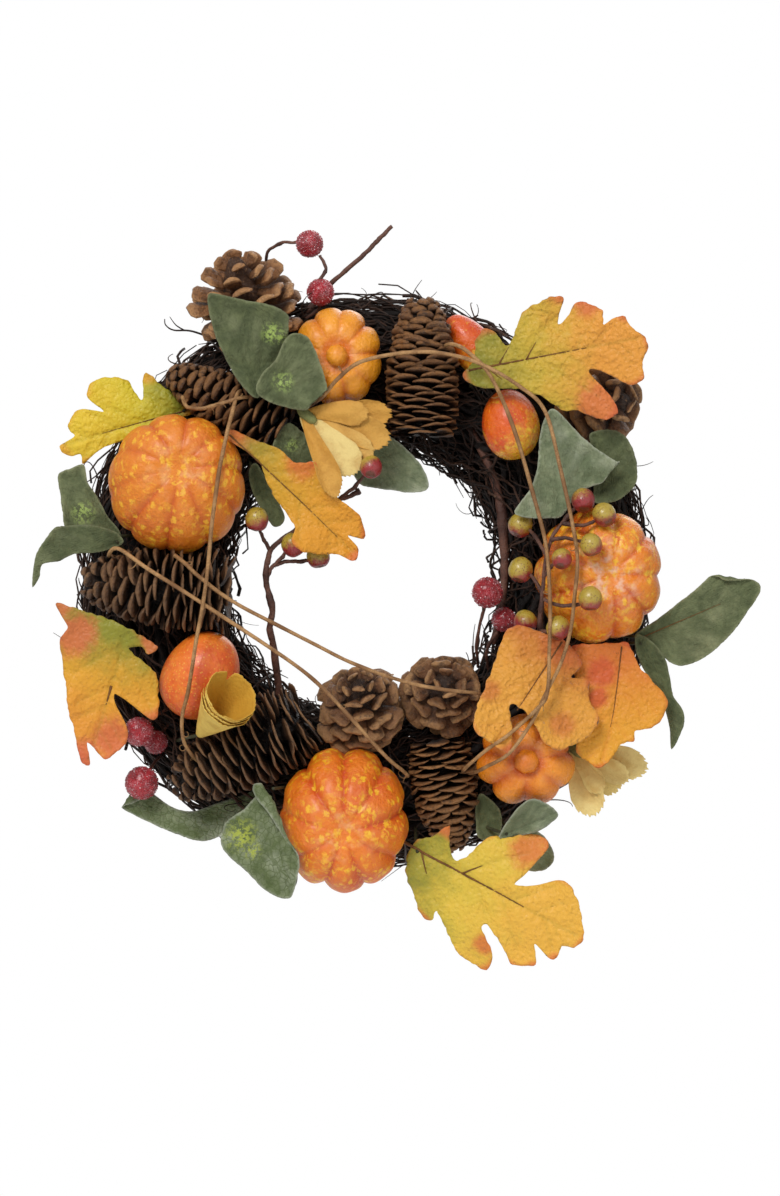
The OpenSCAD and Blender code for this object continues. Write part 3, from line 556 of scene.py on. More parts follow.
BARK = bark("twig_bark", rgb(20, 12, 9), rgb(78, 52, 38), rgb(120, 90, 68))
# A darker copy of the twig bark for the hidden core: painted shade deep in the ring
SHADED_CORE_BARK = bark("shaded_inner_twig_bark", rgb(8, 5, 4), rgb(32, 20, 15), rgb(46, 32, 24))
VINE = dried_stem("vine_skin", rgb(58, 34, 28), rgb(124, 84, 68), 0.45)
TENDRIL = dried_stem("tendril_skin", rgb(118, 80, 46), rgb(196, 152, 100), 0.5)
STEM_WRAP = dried_stem("stem_wrap", rgb(40, 44, 28), rgb(84, 82, 52), 0.6)
STEEL = metal("drawn_steel", rgb(178, 178, 182), rgb(112, 112, 118), 1.0)
BROWN_WIRE = metal("brown_coated_wire", rgb(62, 44, 36), rgb(30, 22, 20), 0.0)


# ---- The hanger and the wires ----

PAINTED = {
    STEEL: ("hanger_loop", "hanger_strap", "wire_picks"),
    BROWN_WIRE: ("wire_frame",),
}
for material, nodes in PAINTED.items():
    for node in nodes:
        for material_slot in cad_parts[node].material_slots:
            material_slot.material = material


def hanger_tie():
    """The brown wire that ties the strap to the ring."""
    low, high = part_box("hanger_tie")
    wire_r, corner = 0.7 * MM, 1.2 * MM
    inset = Vector((wire_r, wire_r, wire_r))
    low, high = low + inset, high - inset
    mid = (low + high) / 2
    bend = [(low.x, low.y, mid.z), (low.x, mid.y, mid.z), (low.x, high.y - corner, mid.z),
            (low.x / 2, high.y, mid.z), (high.x / 2, high.y, mid.z), (high.x, high.y - corner, mid.z),
            (high.x, mid.y, mid.z), (high.x, low.y, mid.z)]
    heap = Heap()
    heap.add(*tube(smooth(bend, 6), wire_r, 10))
    heap.build("wire_tie", [BROWN_WIRE], "brown_wire", ["hanger_tie"])


def binding_turns():
    """The thin brown wire wound round the twigs, one closed turn for each of the CAD's."""
    rng = np.random.default_rng(5)
    wire_r, clear = 0.55 * MM, 0.4 * MM
    heap = Heap()
    for solid in cad_solids("binding_wire"):
        middle = np.mean([v.co[:] for v in solid.verts], axis=0)
        angle = math.atan2(middle[2] - CENTRE.z, middle[0] - CENTRE.x)
        a = np.linspace(0, 2 * math.pi, 61)
        reach = RING_R + (HALF_W + clear) * np.cos(a)
        tilt = angle + 0.03 * np.sin(a + rng.uniform(0, 6)) + wander(rng, a / FULL_TURN, 0.006, 2)
        line = np.column_stack([CENTRE.x + reach * np.cos(tilt), CENTRE.y + (HALF_D + clear) * np.sin(a),
                                CENTRE.z + reach * np.sin(tilt)])
        heap.add(*tube(line, wire_r, 6))
    heap.build("binding", [BROWN_WIRE], "brown_wire", ["binding_wire"])


hanger_tie()
binding_turns()


# ---- The twig ring ----


def ring_place(angle, u, v):
    """A place in the ring's section: u across and v forward, each in half-sizes, at an angle round it."""
    reach = RING_R + u * HALF_W
    return np.column_stack([CENTRE.x + reach * np.cos(angle), CENTRE.y - v * HALF_D,
                            CENTRE.z + reach * np.sin(angle)])


def ring_twig(rng, depth, thick, span, sides, points, loose=0.0):
    """One twig laid round the ring at a share `depth` of the section, drifting as it goes.

    A loose one leaves the ring a little at both ends."""
    start = rng.uniform(0, 2 * math.pi)
    t = np.linspace(0, 1, points)
    angle = start + span * t * rng.choice([-1, 1])
    around = rng.uniform(0, 2 * math.pi) + rng.uniform(-2.2, 2.2) * t + wander(rng, t, 0.16, 1.5)
    share = depth + wander(rng, t, 0.05, 2) + loose * (step_up(t, 0.7, 1) + step_up(-t, -0.25, 0))
    line = ring_place(angle, share * np.cos(around), share * np.sin(around))
    line += 0.0006 * rng.standard_normal(line.shape)
    radius = thick * (1 - 0.45 * t) * (1 + 0.12 * rng.standard_normal(points))
    return tube(line, np.maximum(radius, 0.3 * thick), sides)


def curl(rng, start, ahead, length, thick, turns):
    """A loose dry end that curls away from where it starts."""
    steps = 13
    t = np.linspace(0, 1, steps + 1)
    side = unit(np.cross(ahead, rng.standard_normal(3)))
    lift = np.cross(side, ahead)
    bend = turns * 2 * math.pi * t**1.4
    sideways = side * rng.uniform(0.5, 1) + lift * rng.uniform(-0.4, 0.4)
    way = np.cos(bend)[:, None] * ahead + np.sin(bend)[:, None] * sideways
    line = start + np.cumsum(way * (length / steps), axis=0)
    return tube(line, thick * (1 - 0.6 * t), 5)


# Twig ends that stand clear of the ring: each one's route and thickness
LOOSE_TWIGS = [
    ([[-60, 106, 4], [-72, 116, 8], [-84, 121, 11], [-93, 121.5, 12], [-97, 124, 12], [-97.5, 127, 12]], 0.7),
    ([[-88, 121.5, 11.5], [-92, 124, 12.5], [-95, 128, 13]], 0.45),
    ([[18, 124, 8], [21, 134, 10], [24, 141, 11], [27.5, 146, 11]], 0.4),
    ([[-20, 118, 12], [-19, 129, 13], [-19.5, 139, 13]], 0.45),
    ([[120, 52, 6], [128, 44, 8], [133, 34, 8], [135, 24, 7]], 0.5),
    ([[124, 14, 4], [134, 10, 5], [140, 4, 5]], 0.45),
]


def twig_ring():
    """The ring: a packed core, thinner twigs over it, curled ends that leave it, and loose twigs."""
    core_twigs, surface_twigs, curled_ends = 330, 760, 420
    rng = np.random.default_rng(11)
    inner = Heap("tone")
    for _ in range(core_twigs):
        depth = 0.86 * math.sqrt(rng.uniform(0, 1))
        twig = ring_twig(rng, depth, rng.uniform(1.6, 2.3) * MM, rng.uniform(1.2, 3.2), 6, 34)
        inner.add(*twig, tone=rng.uniform(0, 0.6))
    # The core's twigs wear the near-black bark: painted shade between the surface twigs
    inner.build("inner_twigs", [SHADED_CORE_BARK], "twigs", ["twig_ring"])
    outer = Heap("tone")
    for _ in range(surface_twigs):
        depth = rng.uniform(0.84, 1.0)
        thick, span = rng.uniform(0.3, 0.85) * MM, rng.uniform(0.4, 1.8)
        twig = ring_twig(rng, depth, thick, span, 4, 28, rng.choice([0, 0, 0.06, 0.12]))
        outer.add(*twig, tone=rng.uniform(0, 1) ** 1.6)
    for _ in range(curled_ends):
        angle, around = rng.uniform(0, FULL_TURN), rng.uniform(0, FULL_TURN)
        start = ring_place(np.array([angle]), 0.95 * math.cos(around), 0.95 * math.sin(around))[0]
        ahead = np.array([-math.sin(angle), 0, math.cos(angle)]) * rng.choice([-1, 1])
        outward = ring_place(np.array([angle]), math.cos(around), math.sin(around))[0] - start
        ahead = unit(ahead + unit(outward) * rng.uniform(0.1, 0.9))
        length, thick = rng.uniform(8, 26) * MM, rng.uniform(0.22, 0.5) * MM
        twig = curl(rng, start, ahead, length, thick, rng.uniform(-0.55, 0.55))
        outer.add(*twig, tone=rng.uniform(0.1, 1))
    for points, thick in LOOSE_TWIGS:
        line = smooth(route(points), 6)
        outer.add(*tube(line, np.linspace(thick, 0.35 * thick, len(line)) * MM, 5), tone=0.2)
    outer.build("outer_twigs", [BARK], "twigs")


twig_ring()


# ---- Stems, the vine and the tendrils ----


def stem_line(heap, points, r0, r1, rng, bumps=0.12, steps=8):
    """A stem along a route, with a radius in millimetres at each end, small bumps and swollen joints."""
    sides = 8
    line = smooth(route(points), steps)
    t = np.linspace(0, 1, len(line))
    drift = np.column_stack([wander(rng, t, 2 * bumps, 4) for _ in range(3)])
    line = line + drift * MM * min(1.0, len(line) / 60)
    joints = rng.uniform(0, 1, max(1, len(line) // 14))
    swell = np.max([np.exp(-((t - j) * len(line) / 1.6) ** 2) for j in joints], axis=0)
    bumpy = 1 + bumps * rng.standard_normal(len(line)) * 0.5 + 2.5 * bumps * swell
    heap.add(*tube(line, (r0 + (r1 - r0) * t) * MM * bumpy, sides), knot=np.repeat(swell, sides))


VINE_ROUTE = [[50, 74, 13], [60, 56, 14], [66, 34, 13], [67.5, 10, 12], [66.5, -12, 12], [62, -31, 12]]
TWIG_ROUTE = [[-30, 128, 8], [-18, 143, 10], [-2, 157, 12], [6, 165, 13], [13, 172, 14]]
FROSTED_STEMS = [
    [[-38, 126, 4], [-42, 140, 0], [-48, 152, 4], [-47, 160, 12], [-40, 163.5, 18], [-33, 163.5, 21]],
    [[-29, 127, 13.5], [-23, 131, 17], [-22, 136, 20]],
    [[-24, 143, 26], [-19, 150, 25], [-22, 157, 24]],
    [[-92, -66, 12], [-98, -73, 16], [-100, -76, 17]],
    [[-95, -62, 14], [-102, -66, 24], [-106, -70, 30]],
    [[-98, -84, 6], [-102, -88, 14], [-105, -93, 20]],
    [[55, -42, 6], [54, -30, 18], [57, -15, 27], [58, -11, 28]],
    [[60, -44, 6], [59, -34, 14], [64, -25, 20]],
]

# Each stem of a spray: its radii at both ends in millimetres, and its route
LEFT_SPRAY = [
    (2, 1.3, [[-42, -56, 6], [-44, -35, 16], [-46, -24, 22], [-45, -13, 26], [-48, 1, 28], [-46, 14, 30]]),
    (1.2, 0.8, [[-47, 8, 29], [-46, 14, 30], [-49, 20, 33], [-51, 25, 36]]),
    (1.3, 0.8, [[-47, 8, 29], [-45, 15, 30], [-33, 25, 34], [-24, 34, 36], [-13, 38.5, 38], [-5, 45, 41],
                [0, 50, 46]]),
    (1.1, 0.8, [[-48, 0, 28], [-45, 6, 29], [-40, 11, 31], [-38, 14, 32.5]]),
    (1.1, 0.8, [[-44, 7, 29], [-38, 9, 29], [-31, 9, 29], [-26, 10, 30.5]]),
    (0.9, 1.4, [[-13, 38.5, 38], [-8, 40, 37], [-2.4, 43, 36]]),
]
RIGHT_SPRAY = [
    (1.3, 0.8, [[68, -46, 10], [73, -38, 26], [82, -28, 44], [84, -16, 54], [85, 0, 56], [89, 20, 56],
                [96, 29, 54]]),
    (1, 0.8, [[75, -35, 30], [76, -30, 36], [77, -25, 40]]),
    (1, 0.8, [[83, -24, 48], [86, -24.5, 53], [88.5, -24, 55]]),
    (1, 0.8, [[84.5, -6, 55.5], [81, 0, 54], [78.5, 3, 52]]),
    (1, 0.8, [[84.5, -9, 55.5], [92, -12, 59.5], [99.5, -12, 61.9], [104, -11, 65.5]]),
    (1, 0.8, [[85, 1, 56], [87.5, 5, 59], [90, 8, 62.8]]),
    (1, 0.8, [[87, 11, 56], [82, 20, 48], [79, 24, 42]]),
    (1, 0.8, [[88.5, 19, 56], [95, 20, 58.5], [100, 19, 60.5], [104, 18, 64]]),
    (1, 0.8, [[94, 27, 55], [104, 26, 59], [111, 29, 58.5]]),
    (1, 0.8, [[94, 27, 55], [99, 33, 54], [102, 36, 53.5]]),
]
TENDRILS = {
    "tendril_left": [
        [[-88, 88, 34], [-85, 83, 44], [-78, 82, 49], [-70, 84, 50], [-60, 87, 48], [-55, 88, 36]],
        [[-60, 91, 36], [-62, 86, 49], [-68, 58, 60], [-72, 33, 61], [-76, -5, 60], [-81, -34, 60],
         [-84, -52, 57], [-87, -65, 53], [-87, -76, 47], [-83, -84, 42], [-78, -89, 36]]],
    "tendril_cross": [
        [[-114, 9, 10], [-121, 11, 22], [-123, 12, 38], [-118, 15, 49], [-103, 5, 55], [-79, -10, 57.5],
         [-50, -29, 60], [-26, -46, 63], [-7, -65, 65], [10, -84, 60], [18, -91, 52], [20.5, -94, 36],
         [20, -95, 12]],
        [[-91, 12, 45.5], [-85, 7, 52], [-77, 0, 55], [-60, -12, 56], [-31, -27, 56], [-7, -39, 57],
         [17, -48, 57], [36, -52, 56], [53, -54, 53], [58, -57, 42], [62, -60, 14]]],
    "tendril_right": [
        [[-29, 84, 14], [-27, 84, 34], [-20, 88, 47], [-13, 96, 52], [-2, 104, 54.5], [17, 108, 56],
         [36, 108, 57], [55, 103, 58], [74, 92, 59], [86, 80, 59], [93, 53, 60], [99, 24, 64],
         [101, 8, 65], [99.5, -9.6, 65], [97.4, -26, 63], [93, -40, 62], [86, -54, 62], [79, -68, 62],
         [69, -82, 62], [58, -89, 55], [53, -92, 44], [50, -93, 33]],
        [[38, 112, 41], [42, 112.5, 52], [50, 108, 57], [60, 97, 57], [71, 72, 55.5], [79, 45, 56],
         [86, 18, 61], [88, -9.6, 61.5], [87.6, -36, 63], [86.6, -54, 65], [82, -61, 64], [69, -73, 63],
         [59, -80, 61], [50, -88, 50], [47, -92, 36]]],
}


def stems():
    """The vine, the bare twig and the stems of the berries."""
    rng = np.random.default_rng(23)
    for name, stem_routes in (
        ("vine_cane", [(2.4, 1.9, VINE_ROUTE)]),
        ("bare_twig", [(1.35, 1.0, TWIG_ROUTE)]),
        ("frosted_berry_stems", [(0.8, 0.75, r) for r in FROSTED_STEMS]),
        ("spray_left_stem", LEFT_SPRAY),
        ("spray_right_stem", RIGHT_SPRAY),
    ):
        heap = Heap("knot")
        for r0, r1, points in stem_routes:
            stem_line(heap, points, r0, r1, rng)
        heap.build(name + "_bark", [VINE], "vine", [name])


def tendrils():
    """The long thin tendrils, each with short curls along it."""
    steps, curls = 10, 5
    rng = np.random.default_rng(31)
    for name, lines in TENDRILS.items():
        heap = Heap("knot")
        for points in lines:
            stem_line(heap, points, 1.0, 0.85, rng, 0.04, steps)
            line = smooth(route(points), steps)
            for _ in range(curls):
                k = rng.integers(4, len(line) - 4)
                ahead = unit(unit(line[k + 1] - line[k]) + 0.7 * rng.standard_normal(3))
                length = rng.uniform(4, 11) * MM
                twist = rng.uniform(-1.1, 1.1)
                heap.add(*curl(rng, line[k], ahead, length, 0.3 * MM, twist), knot=0.3)
        heap.build(name + "_skin", [TENDRIL], "tendril", [name])


stems()
tendrils()


# ---- Pumpkins and gourds ----


def pumpkin(name, ribs, groove, turn, paint, seed, lumps, nub=0.0, nub_r=5.2, sharp=1.5, lean=(0.0, 0.0)):
    """A ribbed foam pumpkin with its stem axis towards the viewer.

    groove is the depth of the grooves between its ribs as a share of its radius, sharp how narrow they
    are, turn the angle of the first one. A nub stands that many millimetres proud of the foam. lean is
    how far the front is pushed across and up, and lumps how uneven the foam is."""
    low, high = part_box(name)
    front, back = low.y + nub * MM, high.y
    half = np.array([(high.x - low.x) / 2, (back - front) / 2, (high.z - low.z) / 2])
    mid = np.array([(high.x + low.x) / 2, (back + front) / 2, (high.z + low.z) / 2])
    columns = ribs * 20
    a = np.linspace(0, 2 * math.pi, columns, endpoint=False)
    turned = a + math.radians(turn)
    levels = np.radians(np.concatenate([np.linspace(-89, 60, 52), np.linspace(62, 89.2, 22)]))
    uneven_ribs = 1 - 0.3 * (1 + np.sin(2 * a + seed)) * (1 + np.cos(3 * a + 2 * seed)) / 2
    flat_end, dimple, dimple_r = (0.65, 0.26, 0.42) if nub else (0.4, 0.12, 0.3)
    rings, groove_and_nub_shade, poles = [], [], []
    for level in levels:
        in_front = level > 0
        swell = max(math.cos(level), 0.0) ** 0.8
        valley = (1 - np.abs(np.sin(ribs * a / 2))) ** sharp
        valley = valley * step_up(math.cos(level), 0.0, flat_end) * uneven_ribs
        shrink = swell * (1 - groove * valley)
        depth = -math.sin(level) * (1 - 0.5 * groove * valley * in_front)
        sunk = dimple * math.exp(-(swell / dimple_r) ** 2) * in_front
        push = 0.2 * math.sin(level)
        rings.append(np.column_stack([
            half[0] * (shrink * np.cos(turned) + lean[0] * push),
            half[1] * (depth + sunk),
            half[2] * (shrink * np.sin(turned) + lean[1] * push)]))
        # Painted shade in a ring round the nub, where the dimple goes in; it joins the grooves' number
        ring_shade = 0.9 * math.exp(-((swell - 0.3) / 0.1) ** 2) * in_front * (nub > 0)
        groove_and_nub_shade.append(np.maximum(valley, ring_shade))
        # pole is 1 at the front, where the paint lays its painted highlight
        poles.append(np.full(columns, step_up(-swell, -0.75, -0.1) * in_front))
    points = np.vstack(rings)
    dents = rough(points / half.max(), 1.3, seed) * 0.02 + rough(points / half.max(), 4.5, seed + 3) * lumps
    points = mid + points * (1 + dents[:, None])
    heap = Heap("groove", "pole")
    heap.add(points, capped(len(levels), columns), groove=np.concatenate(groove_and_nub_shade), pole=np.concatenate(poles))
    if nub:
        foot = mid + half * [lean[0] * 0.2, -0.66, lean[1] * 0.2]
        # The nub takes a little of the painted highlight and of the grooves' colour
        heap.add(*pumpkin_nub(foot, nub_r * MM, ribs, low.y), groove=0.1, pole=0.3)
    heap.build(name + "_foam", [paint], "gloss_pumpkin" if nub else "foam_pumpkin", [name])


def pumpkin_nub(base, radius, ribs, front):
    """The rounded stump of a stem in its dimple, faintly ribbed."""
    columns, rows = ribs * 6, 16
    a = np.linspace(0, 2 * math.pi, columns, endpoint=False)
    height = base[1] - front
    rings = []
    for s in np.linspace(0, 1, rows):
        bulge = math.sqrt(max(0.0, 1 - max(0.0, (s - 0.35) / 0.65) ** 2))
        foot = 0.8 + 0.2 * math.sin(min(s * 4, 1.57))
        r = radius * foot * max(bulge, 0.03) * (1 + 0.03 * np.cos(ribs * a))
        rings.append(np.column_stack([base[0] + r * np.cos(a), np.full(columns, base[1] - height * s),
                                      base[2] + r * np.sin(a)]))
    return np.vstack(rings), capped(rows, columns)


def gourd(name, spin, lift, paint, slot, neck, fade_way, seed):
    """A smooth foam gourd along its aimed axis, round at the bottom and narrower at the top."""
    mid, axes, length, dia = spindle(name, spin, lift)
    columns, rows = 72, 48
    a = np.linspace(0, 2 * math.pi, columns, endpoint=False)
    rings = []
    for level in np.radians(np.linspace(-89, 89, rows)):
        s = math.sin(level)
        r = dia / 2 * math.cos(level) ** 0.92 * (1 - neck * (1 + s) / 2) * (1 + 0.012 * np.cos(5 * a + 1))
        rings.append(np.column_stack([r * np.cos(a), r * np.sin(a), np.full(columns, length / 2 * s)]))
    points = np.vstack(rings)
    dents = rough(points / length, 2.2, seed) * 0.02 + rough(points / length, 8, seed + 2) * 0.006
    points = points * (1 + dents[:, None])
    place = mid + points @ axes.T
    fade = (place - mid) @ np.array([fade_way[0], 0, fade_way[1]]) / length * 1.4 + 0.5
    heap = Heap("fade")
    heap.add(place, capped(rows, columns), fade=fade)
    heap.build(name + "_foam", [paint], slot, [name])


# The second colour is the painted highlight on the pumpkins' fronts
YELLOW, PUMPKIN_HIGHLIGHT = rgb(250, 190, 44), rgb(244, 184, 128)
LEFT_FOAM = pumpkin_paint("left_pumpkin_paint", rgb(230, 130, 20), rgb(206, 84, 14), YELLOW, PUMPKIN_HIGHLIGHT, 0.36, 0.13)
BOTTOM_FOAM = pumpkin_paint("bottom_pumpkin_paint", rgb(238, 124, 18), rgb(206, 58, 14), rgb(252, 196, 36),
                            PUMPKIN_HIGHLIGHT, 0.3, 0.16)
GLOSS_FOAM = pumpkin_paint("gloss_pumpkin_paint", rgb(246, 160, 30), rgb(214, 104, 22), rgb(250, 190, 80),
                           PUMPKIN_HIGHLIGHT, 0.14, 0.0)
CORNER_FOAM = pumpkin_paint("corner_pumpkin_paint", rgb(244, 148, 26), rgb(204, 84, 22), rgb(248, 180, 70),
                            PUMPKIN_HIGHLIGHT, 0.16, 0.0)
# This one has a stronger, pinker painted highlight on its front
RIGHT_FOAM = pumpkin_paint("right_pumpkin_paint", rgb(238, 134, 22), rgb(198, 62, 16), rgb(252, 196, 52),
                           rgb(244, 204, 178), 0.16, 0.19, 0.95)
GOURD_SKIN = gourd_paint("gourd_paint", rgb(232, 104, 22), rgb(218, 74, 22), rgb(248, 198, 54), 0.75)
LEFT_GOURD_SKIN = gourd_paint("left_gourd_paint", rgb(240, 122, 28), rgb(224, 88, 26), rgb(248, 180, 64),
                              0.12, 0.38, 0.2)

pumpkin("pumpkin_left", 10, 0.07, 9, LEFT_FOAM, 2, 0.012, sharp=1.7, lean=(0.3, 1.0))
pumpkin("pumpkin_top", 9, 0.13, 4, GLOSS_FOAM, 4, 0.007, nub=4)
pumpkin("pumpkin_right", 9, 0.1, 0, RIGHT_FOAM, 6, 0.022, sharp=1.6, lean=(0.9, 0.1))
pumpkin("pumpkin_bottom", 9, 0.1, 10, BOTTOM_FOAM, 8, 0.028, sharp=1.7, lean=(0, -0.7))
pumpkin("pumpkin_corner", 7, 0.16, 12, CORNER_FOAM, 10, 0.01, nub=3.5, nub_r=5.8, sharp=1.2)
gourd("gourd_top", 128, 0, GOURD_SKIN, "foam_gourd", 0.2, (0.3, -0.9), 3)
gourd("gourd_right", 100, 0, GOURD_SKIN, "foam_gourd", 0.12, (0.8, -0.7), 5)
gourd("gourd_left", 60, 10, LEFT_GOURD_SKIN, "foam_pumpkin", 0.1, (0, 0), 7)


# ---- Pine cones ----


def cone_scale(length, width, thick, knob, curl_back, blunt, spoon):
    """One cone scale along +Z from its root: a curved spoon with a lip. Its outside faces -Y.

    knob is how much thicker its lip is, curl_back how far its end bends out, and blunt how wide and
    square its end is, from 0 (pointed) to 1 (broad)."""
    rows, columns = 10, 9
    s = np.linspace(0, 1, rows)
    start = 0.5 + 0.36 * blunt
    shoulder = np.clip((s - start) / (1.03 - start), 0, 1)
    wide = width / 2 * (0.36 + 0.64 * step_up(s, 0.05, 0.72)) * np.sqrt(np.clip(1 - shoulder**2.4, 0.02, 1))
    lip = thick * (0.5 + knob * np.exp(-((s - 0.88) / 0.15) ** 2))
    bow = curl_back * length * s**2.4
    points, along, rim = [], [], []
    for side in (-1, 1):
        for i in range(rows):
            for u in np.linspace(-1, 1, columns):
                edge = 1 - 0.7 * abs(u) ** 3
                y = side * lip[i] / 2 * edge - bow[i] + spoon * width * u * u * (1 - 0.3 * s[i])
                points.append((u * wide[i], y, s[i] * length * (1 - 0.05 * (1 - blunt) * u * u * s[i])))
                along.append(s[i])
                # rim marks the sides and end of the scale, where the wood takes a painted highlight
                rim.append(max(abs(u) ** 2 * step_up(s[i], 0.4, 0.7), step_up(s[i], 0.86, 0.99)))
    return np.array(points), sheet_faces(rows, columns), np.array(along), np.array(rim)


def cone_core(length, dia):
    """The core that a cone's scales stand on, along +Z."""
    rows, columns = 18, 12
    share = np.linspace(0, 1, rows)
    a = np.linspace(0, 2 * math.pi, columns, endpoint=False)
    radii = dia / 2 * (0.08 + 0.34 * np.sin(math.pi * (0.1 + 0.85 * share)))
    rings = [np.column_stack([r * np.cos(a), r * np.sin(a), np.full(columns, (t - 0.48) * length * 0.8)])
             for t, r in zip(share, radii)]
    return np.vstack(rings), capped(rows, columns)


def pine_cone(name, spin, lift, count, wood, slot, width, thick, tilts, knobs, blunt, seed, uneven,
              curl_back=0.1, plump=0.6, reach=1.0, spoon=0.07, closing=0.45):
    """Scales set on a core in a golden-angle spiral, from the open base to the closed tip.

    width and thick are a scale's, in millimetres. tilts, knobs and blunt are each a pair: the value at
    the base and the value at the tip. A small plump keeps the cone full towards its tip, reach
    lengthens its scales, and closing is how much narrower the last of them are."""
    rng = np.random.default_rng(seed)
    mid, axes, length, dia = spindle(name, spin, lift)
    heap = Heap("along", "tone", "rim")
    core, faces = cone_core(length, dia)
    # The core has no along number, so it is drawn in the wood's painted shade colour
    heap.add(mid + core @ axes.T, faces)
    forward = np.array([0, 0, 1.0])
    for i in range(count):
        t = (i + 0.5) / count
        late = t**1.6
        envelope = dia / 2 * math.sin(math.pi * (0.12 + 0.86 * t) ** 0.72) ** plump
        around = i * GOLDEN_ANGLE + rng.normal(0, 0.07 * uneven)
        tilt = math.radians(tilts[0] + (tilts[1] - tilts[0]) * late + rng.normal(0, 4 * uneven))
        out = np.array([math.cos(around), math.sin(around), 0])
        way = math.cos(tilt) * out + math.sin(tilt) * forward
        back = math.cos(tilt) * forward - math.sin(tilt) * out
        root_r = envelope * (0.24 + 0.2 * late)
        size = min((envelope - root_r) / max(math.cos(tilt), 0.3), 0.62 * dia)
        size *= reach * (1 + rng.normal(0, 0.05 * uneven))
        fit = (0.72 + 0.28 * math.sin(math.pi * min(1, 0.2 + 0.8 * t))) * (1 - closing * step_up(t, 0.7, 1))
        wide = width * MM * fit * (1 + rng.normal(0, 0.06))
        knob = knobs[0] + (knobs[1] - knobs[0]) * late
        square = blunt[0] + (blunt[1] - blunt[0]) * late
        points, faces, along, rim = cone_scale(size, wide, thick * MM, knob, curl_back, square, spoon)
        scale_axes = np.column_stack([np.cross(way, -back), -back, way])
        twist = np.array(Matrix.Rotation(rng.normal(0, 0.055 * uneven), 3, "Z"))
        # The scale's tip, not its root, sits at its height along the cone
        tip_z = (t - 0.5) * length * 0.94
        seat = out * root_r + forward * (tip_z - math.sin(tilt) * size)
        local = seat + (points @ twist.T) @ scale_axes.T
        local += rough(local / MM, 0.2, seed + i * 0.37)[:, None] * 0.35 * MM * uneven * unit(local)
        local[:, 2] = np.clip(local[:, 2], -0.52 * length, 0.53 * length)
        heap.add(mid + local @ axes.T, faces, along=along, tone=rng.uniform(0, 1), rim=rim)
    heap.build(name + "_scales", [wood], slot, [name])


# In each wood the first colour is the painted shade at the roots and on the core, and it also darkens some
# scales and patches
DARK_CONE = cone_wood("dark_cone_wood", rgb(22, 13, 8), rgb(88, 57, 32), rgb(146, 106, 68), pale_from=0.82)
BROWN_CONE = cone_wood("brown_cone_wood", rgb(18, 11, 7), rgb(84, 52, 28), rgb(152, 104, 58), pale_from=0.78)
LIGHT_CONE = cone_wood("light_cone_wood", rgb(24, 14, 8), rgb(98, 62, 34), rgb(168, 118, 68))
TAN_CONE = cone_wood("tan_cone_wood", rgb(48, 29, 17), rgb(122, 80, 48), rgb(194, 146, 96), 0.62, 0.66)
WARM_CONE = cone_wood("warm_cone_wood", rgb(70, 42, 22), rgb(142, 94, 54), rgb(206, 154, 102), 0.5)

pine_cone("cone_top", 90, 0, 150, BROWN_CONE, "brown_cone", 15, 1.2, (-8, 62), (0.6, 3.4), (1, 1), 1,
          plump=0.36, uneven=1.3)
pine_cone("cone_upper_left", 153, 0, 96, BROWN_CONE, "brown_cone", 13, 1.5, (4, 60), (0.6, 3.4), (1, 1), 2,
          plump=0.45, uneven=1.3)
pine_cone("cone_left", 175, 0, 116, DARK_CONE, "dark_cone", 16, 1.2, (-26, 60), (0.6, 2.6), (1, 0.9), 3,
          plump=0.38, uneven=1.5)
pine_cone("cone_lower_left", 208, 0, 104, DARK_CONE, "dark_cone", 18, 1.1, (-14, 42), (0.6, 1.6), (1, 0.8), 4,
          curl_back=0.05, plump=0.44, uneven=1.5)
pine_cone("cone_bottom_right", 279, 0, 116, LIGHT_CONE, "brown_cone", 14, 1.2, (-2, 52), (0.7, 2.2), (1, 0.9),
          5, plump=0.5, uneven=1.4)
pine_cone("cone_top_left", 105, 37, 46, WARM_CONE, "tan_cone", 13, 2.3, (-8, 56), (0.8, 0.8), (1, 0.9), 6,
          curl_back=-0.04, reach=1.28, spoon=0.14, plump=0.55, closing=0.3, uneven=2)
pine_cone("cone_bottom_left", 95, 55, 50, TAN_CONE, "tan_cone", 13, 1.7, (-14, 40), (0.9, 1.1), (1, 1), 7,
          curl_back=-0.04, reach=1.1, spoon=0.1, closing=0.35, uneven=2)
pine_cone("cone_bottom_middle", 80, 70, 34, TAN_CONE, "tan_cone", 12.5, 1.8, (-16, 40), (0.8, 0.9), (1, 1), 8,
          curl_back=-0.05, reach=1.12, spoon=0.12, closing=0.3, uneven=1.8)
pine_cone("cone_top_right", 10, 50, 30, TAN_CONE, "tan_cone", 15, 2.3, (-18, 34), (1.1, 1.1), (1, 1), 9,
          curl_back=-0.04, reach=1.25, spoon=0.13, closing=0.25, uneven=1.8)


# ---- Leaves ----

PLATE_THICK = 0.8 * MM
CLOTH_THICK = 0.45 * MM
CLOTH_GRID = 1.3 * MM
STEM_R = 0.8 * MM
LEAF_NAMES = ("along", "tip", "spotted", "rim", "vein", "pale")


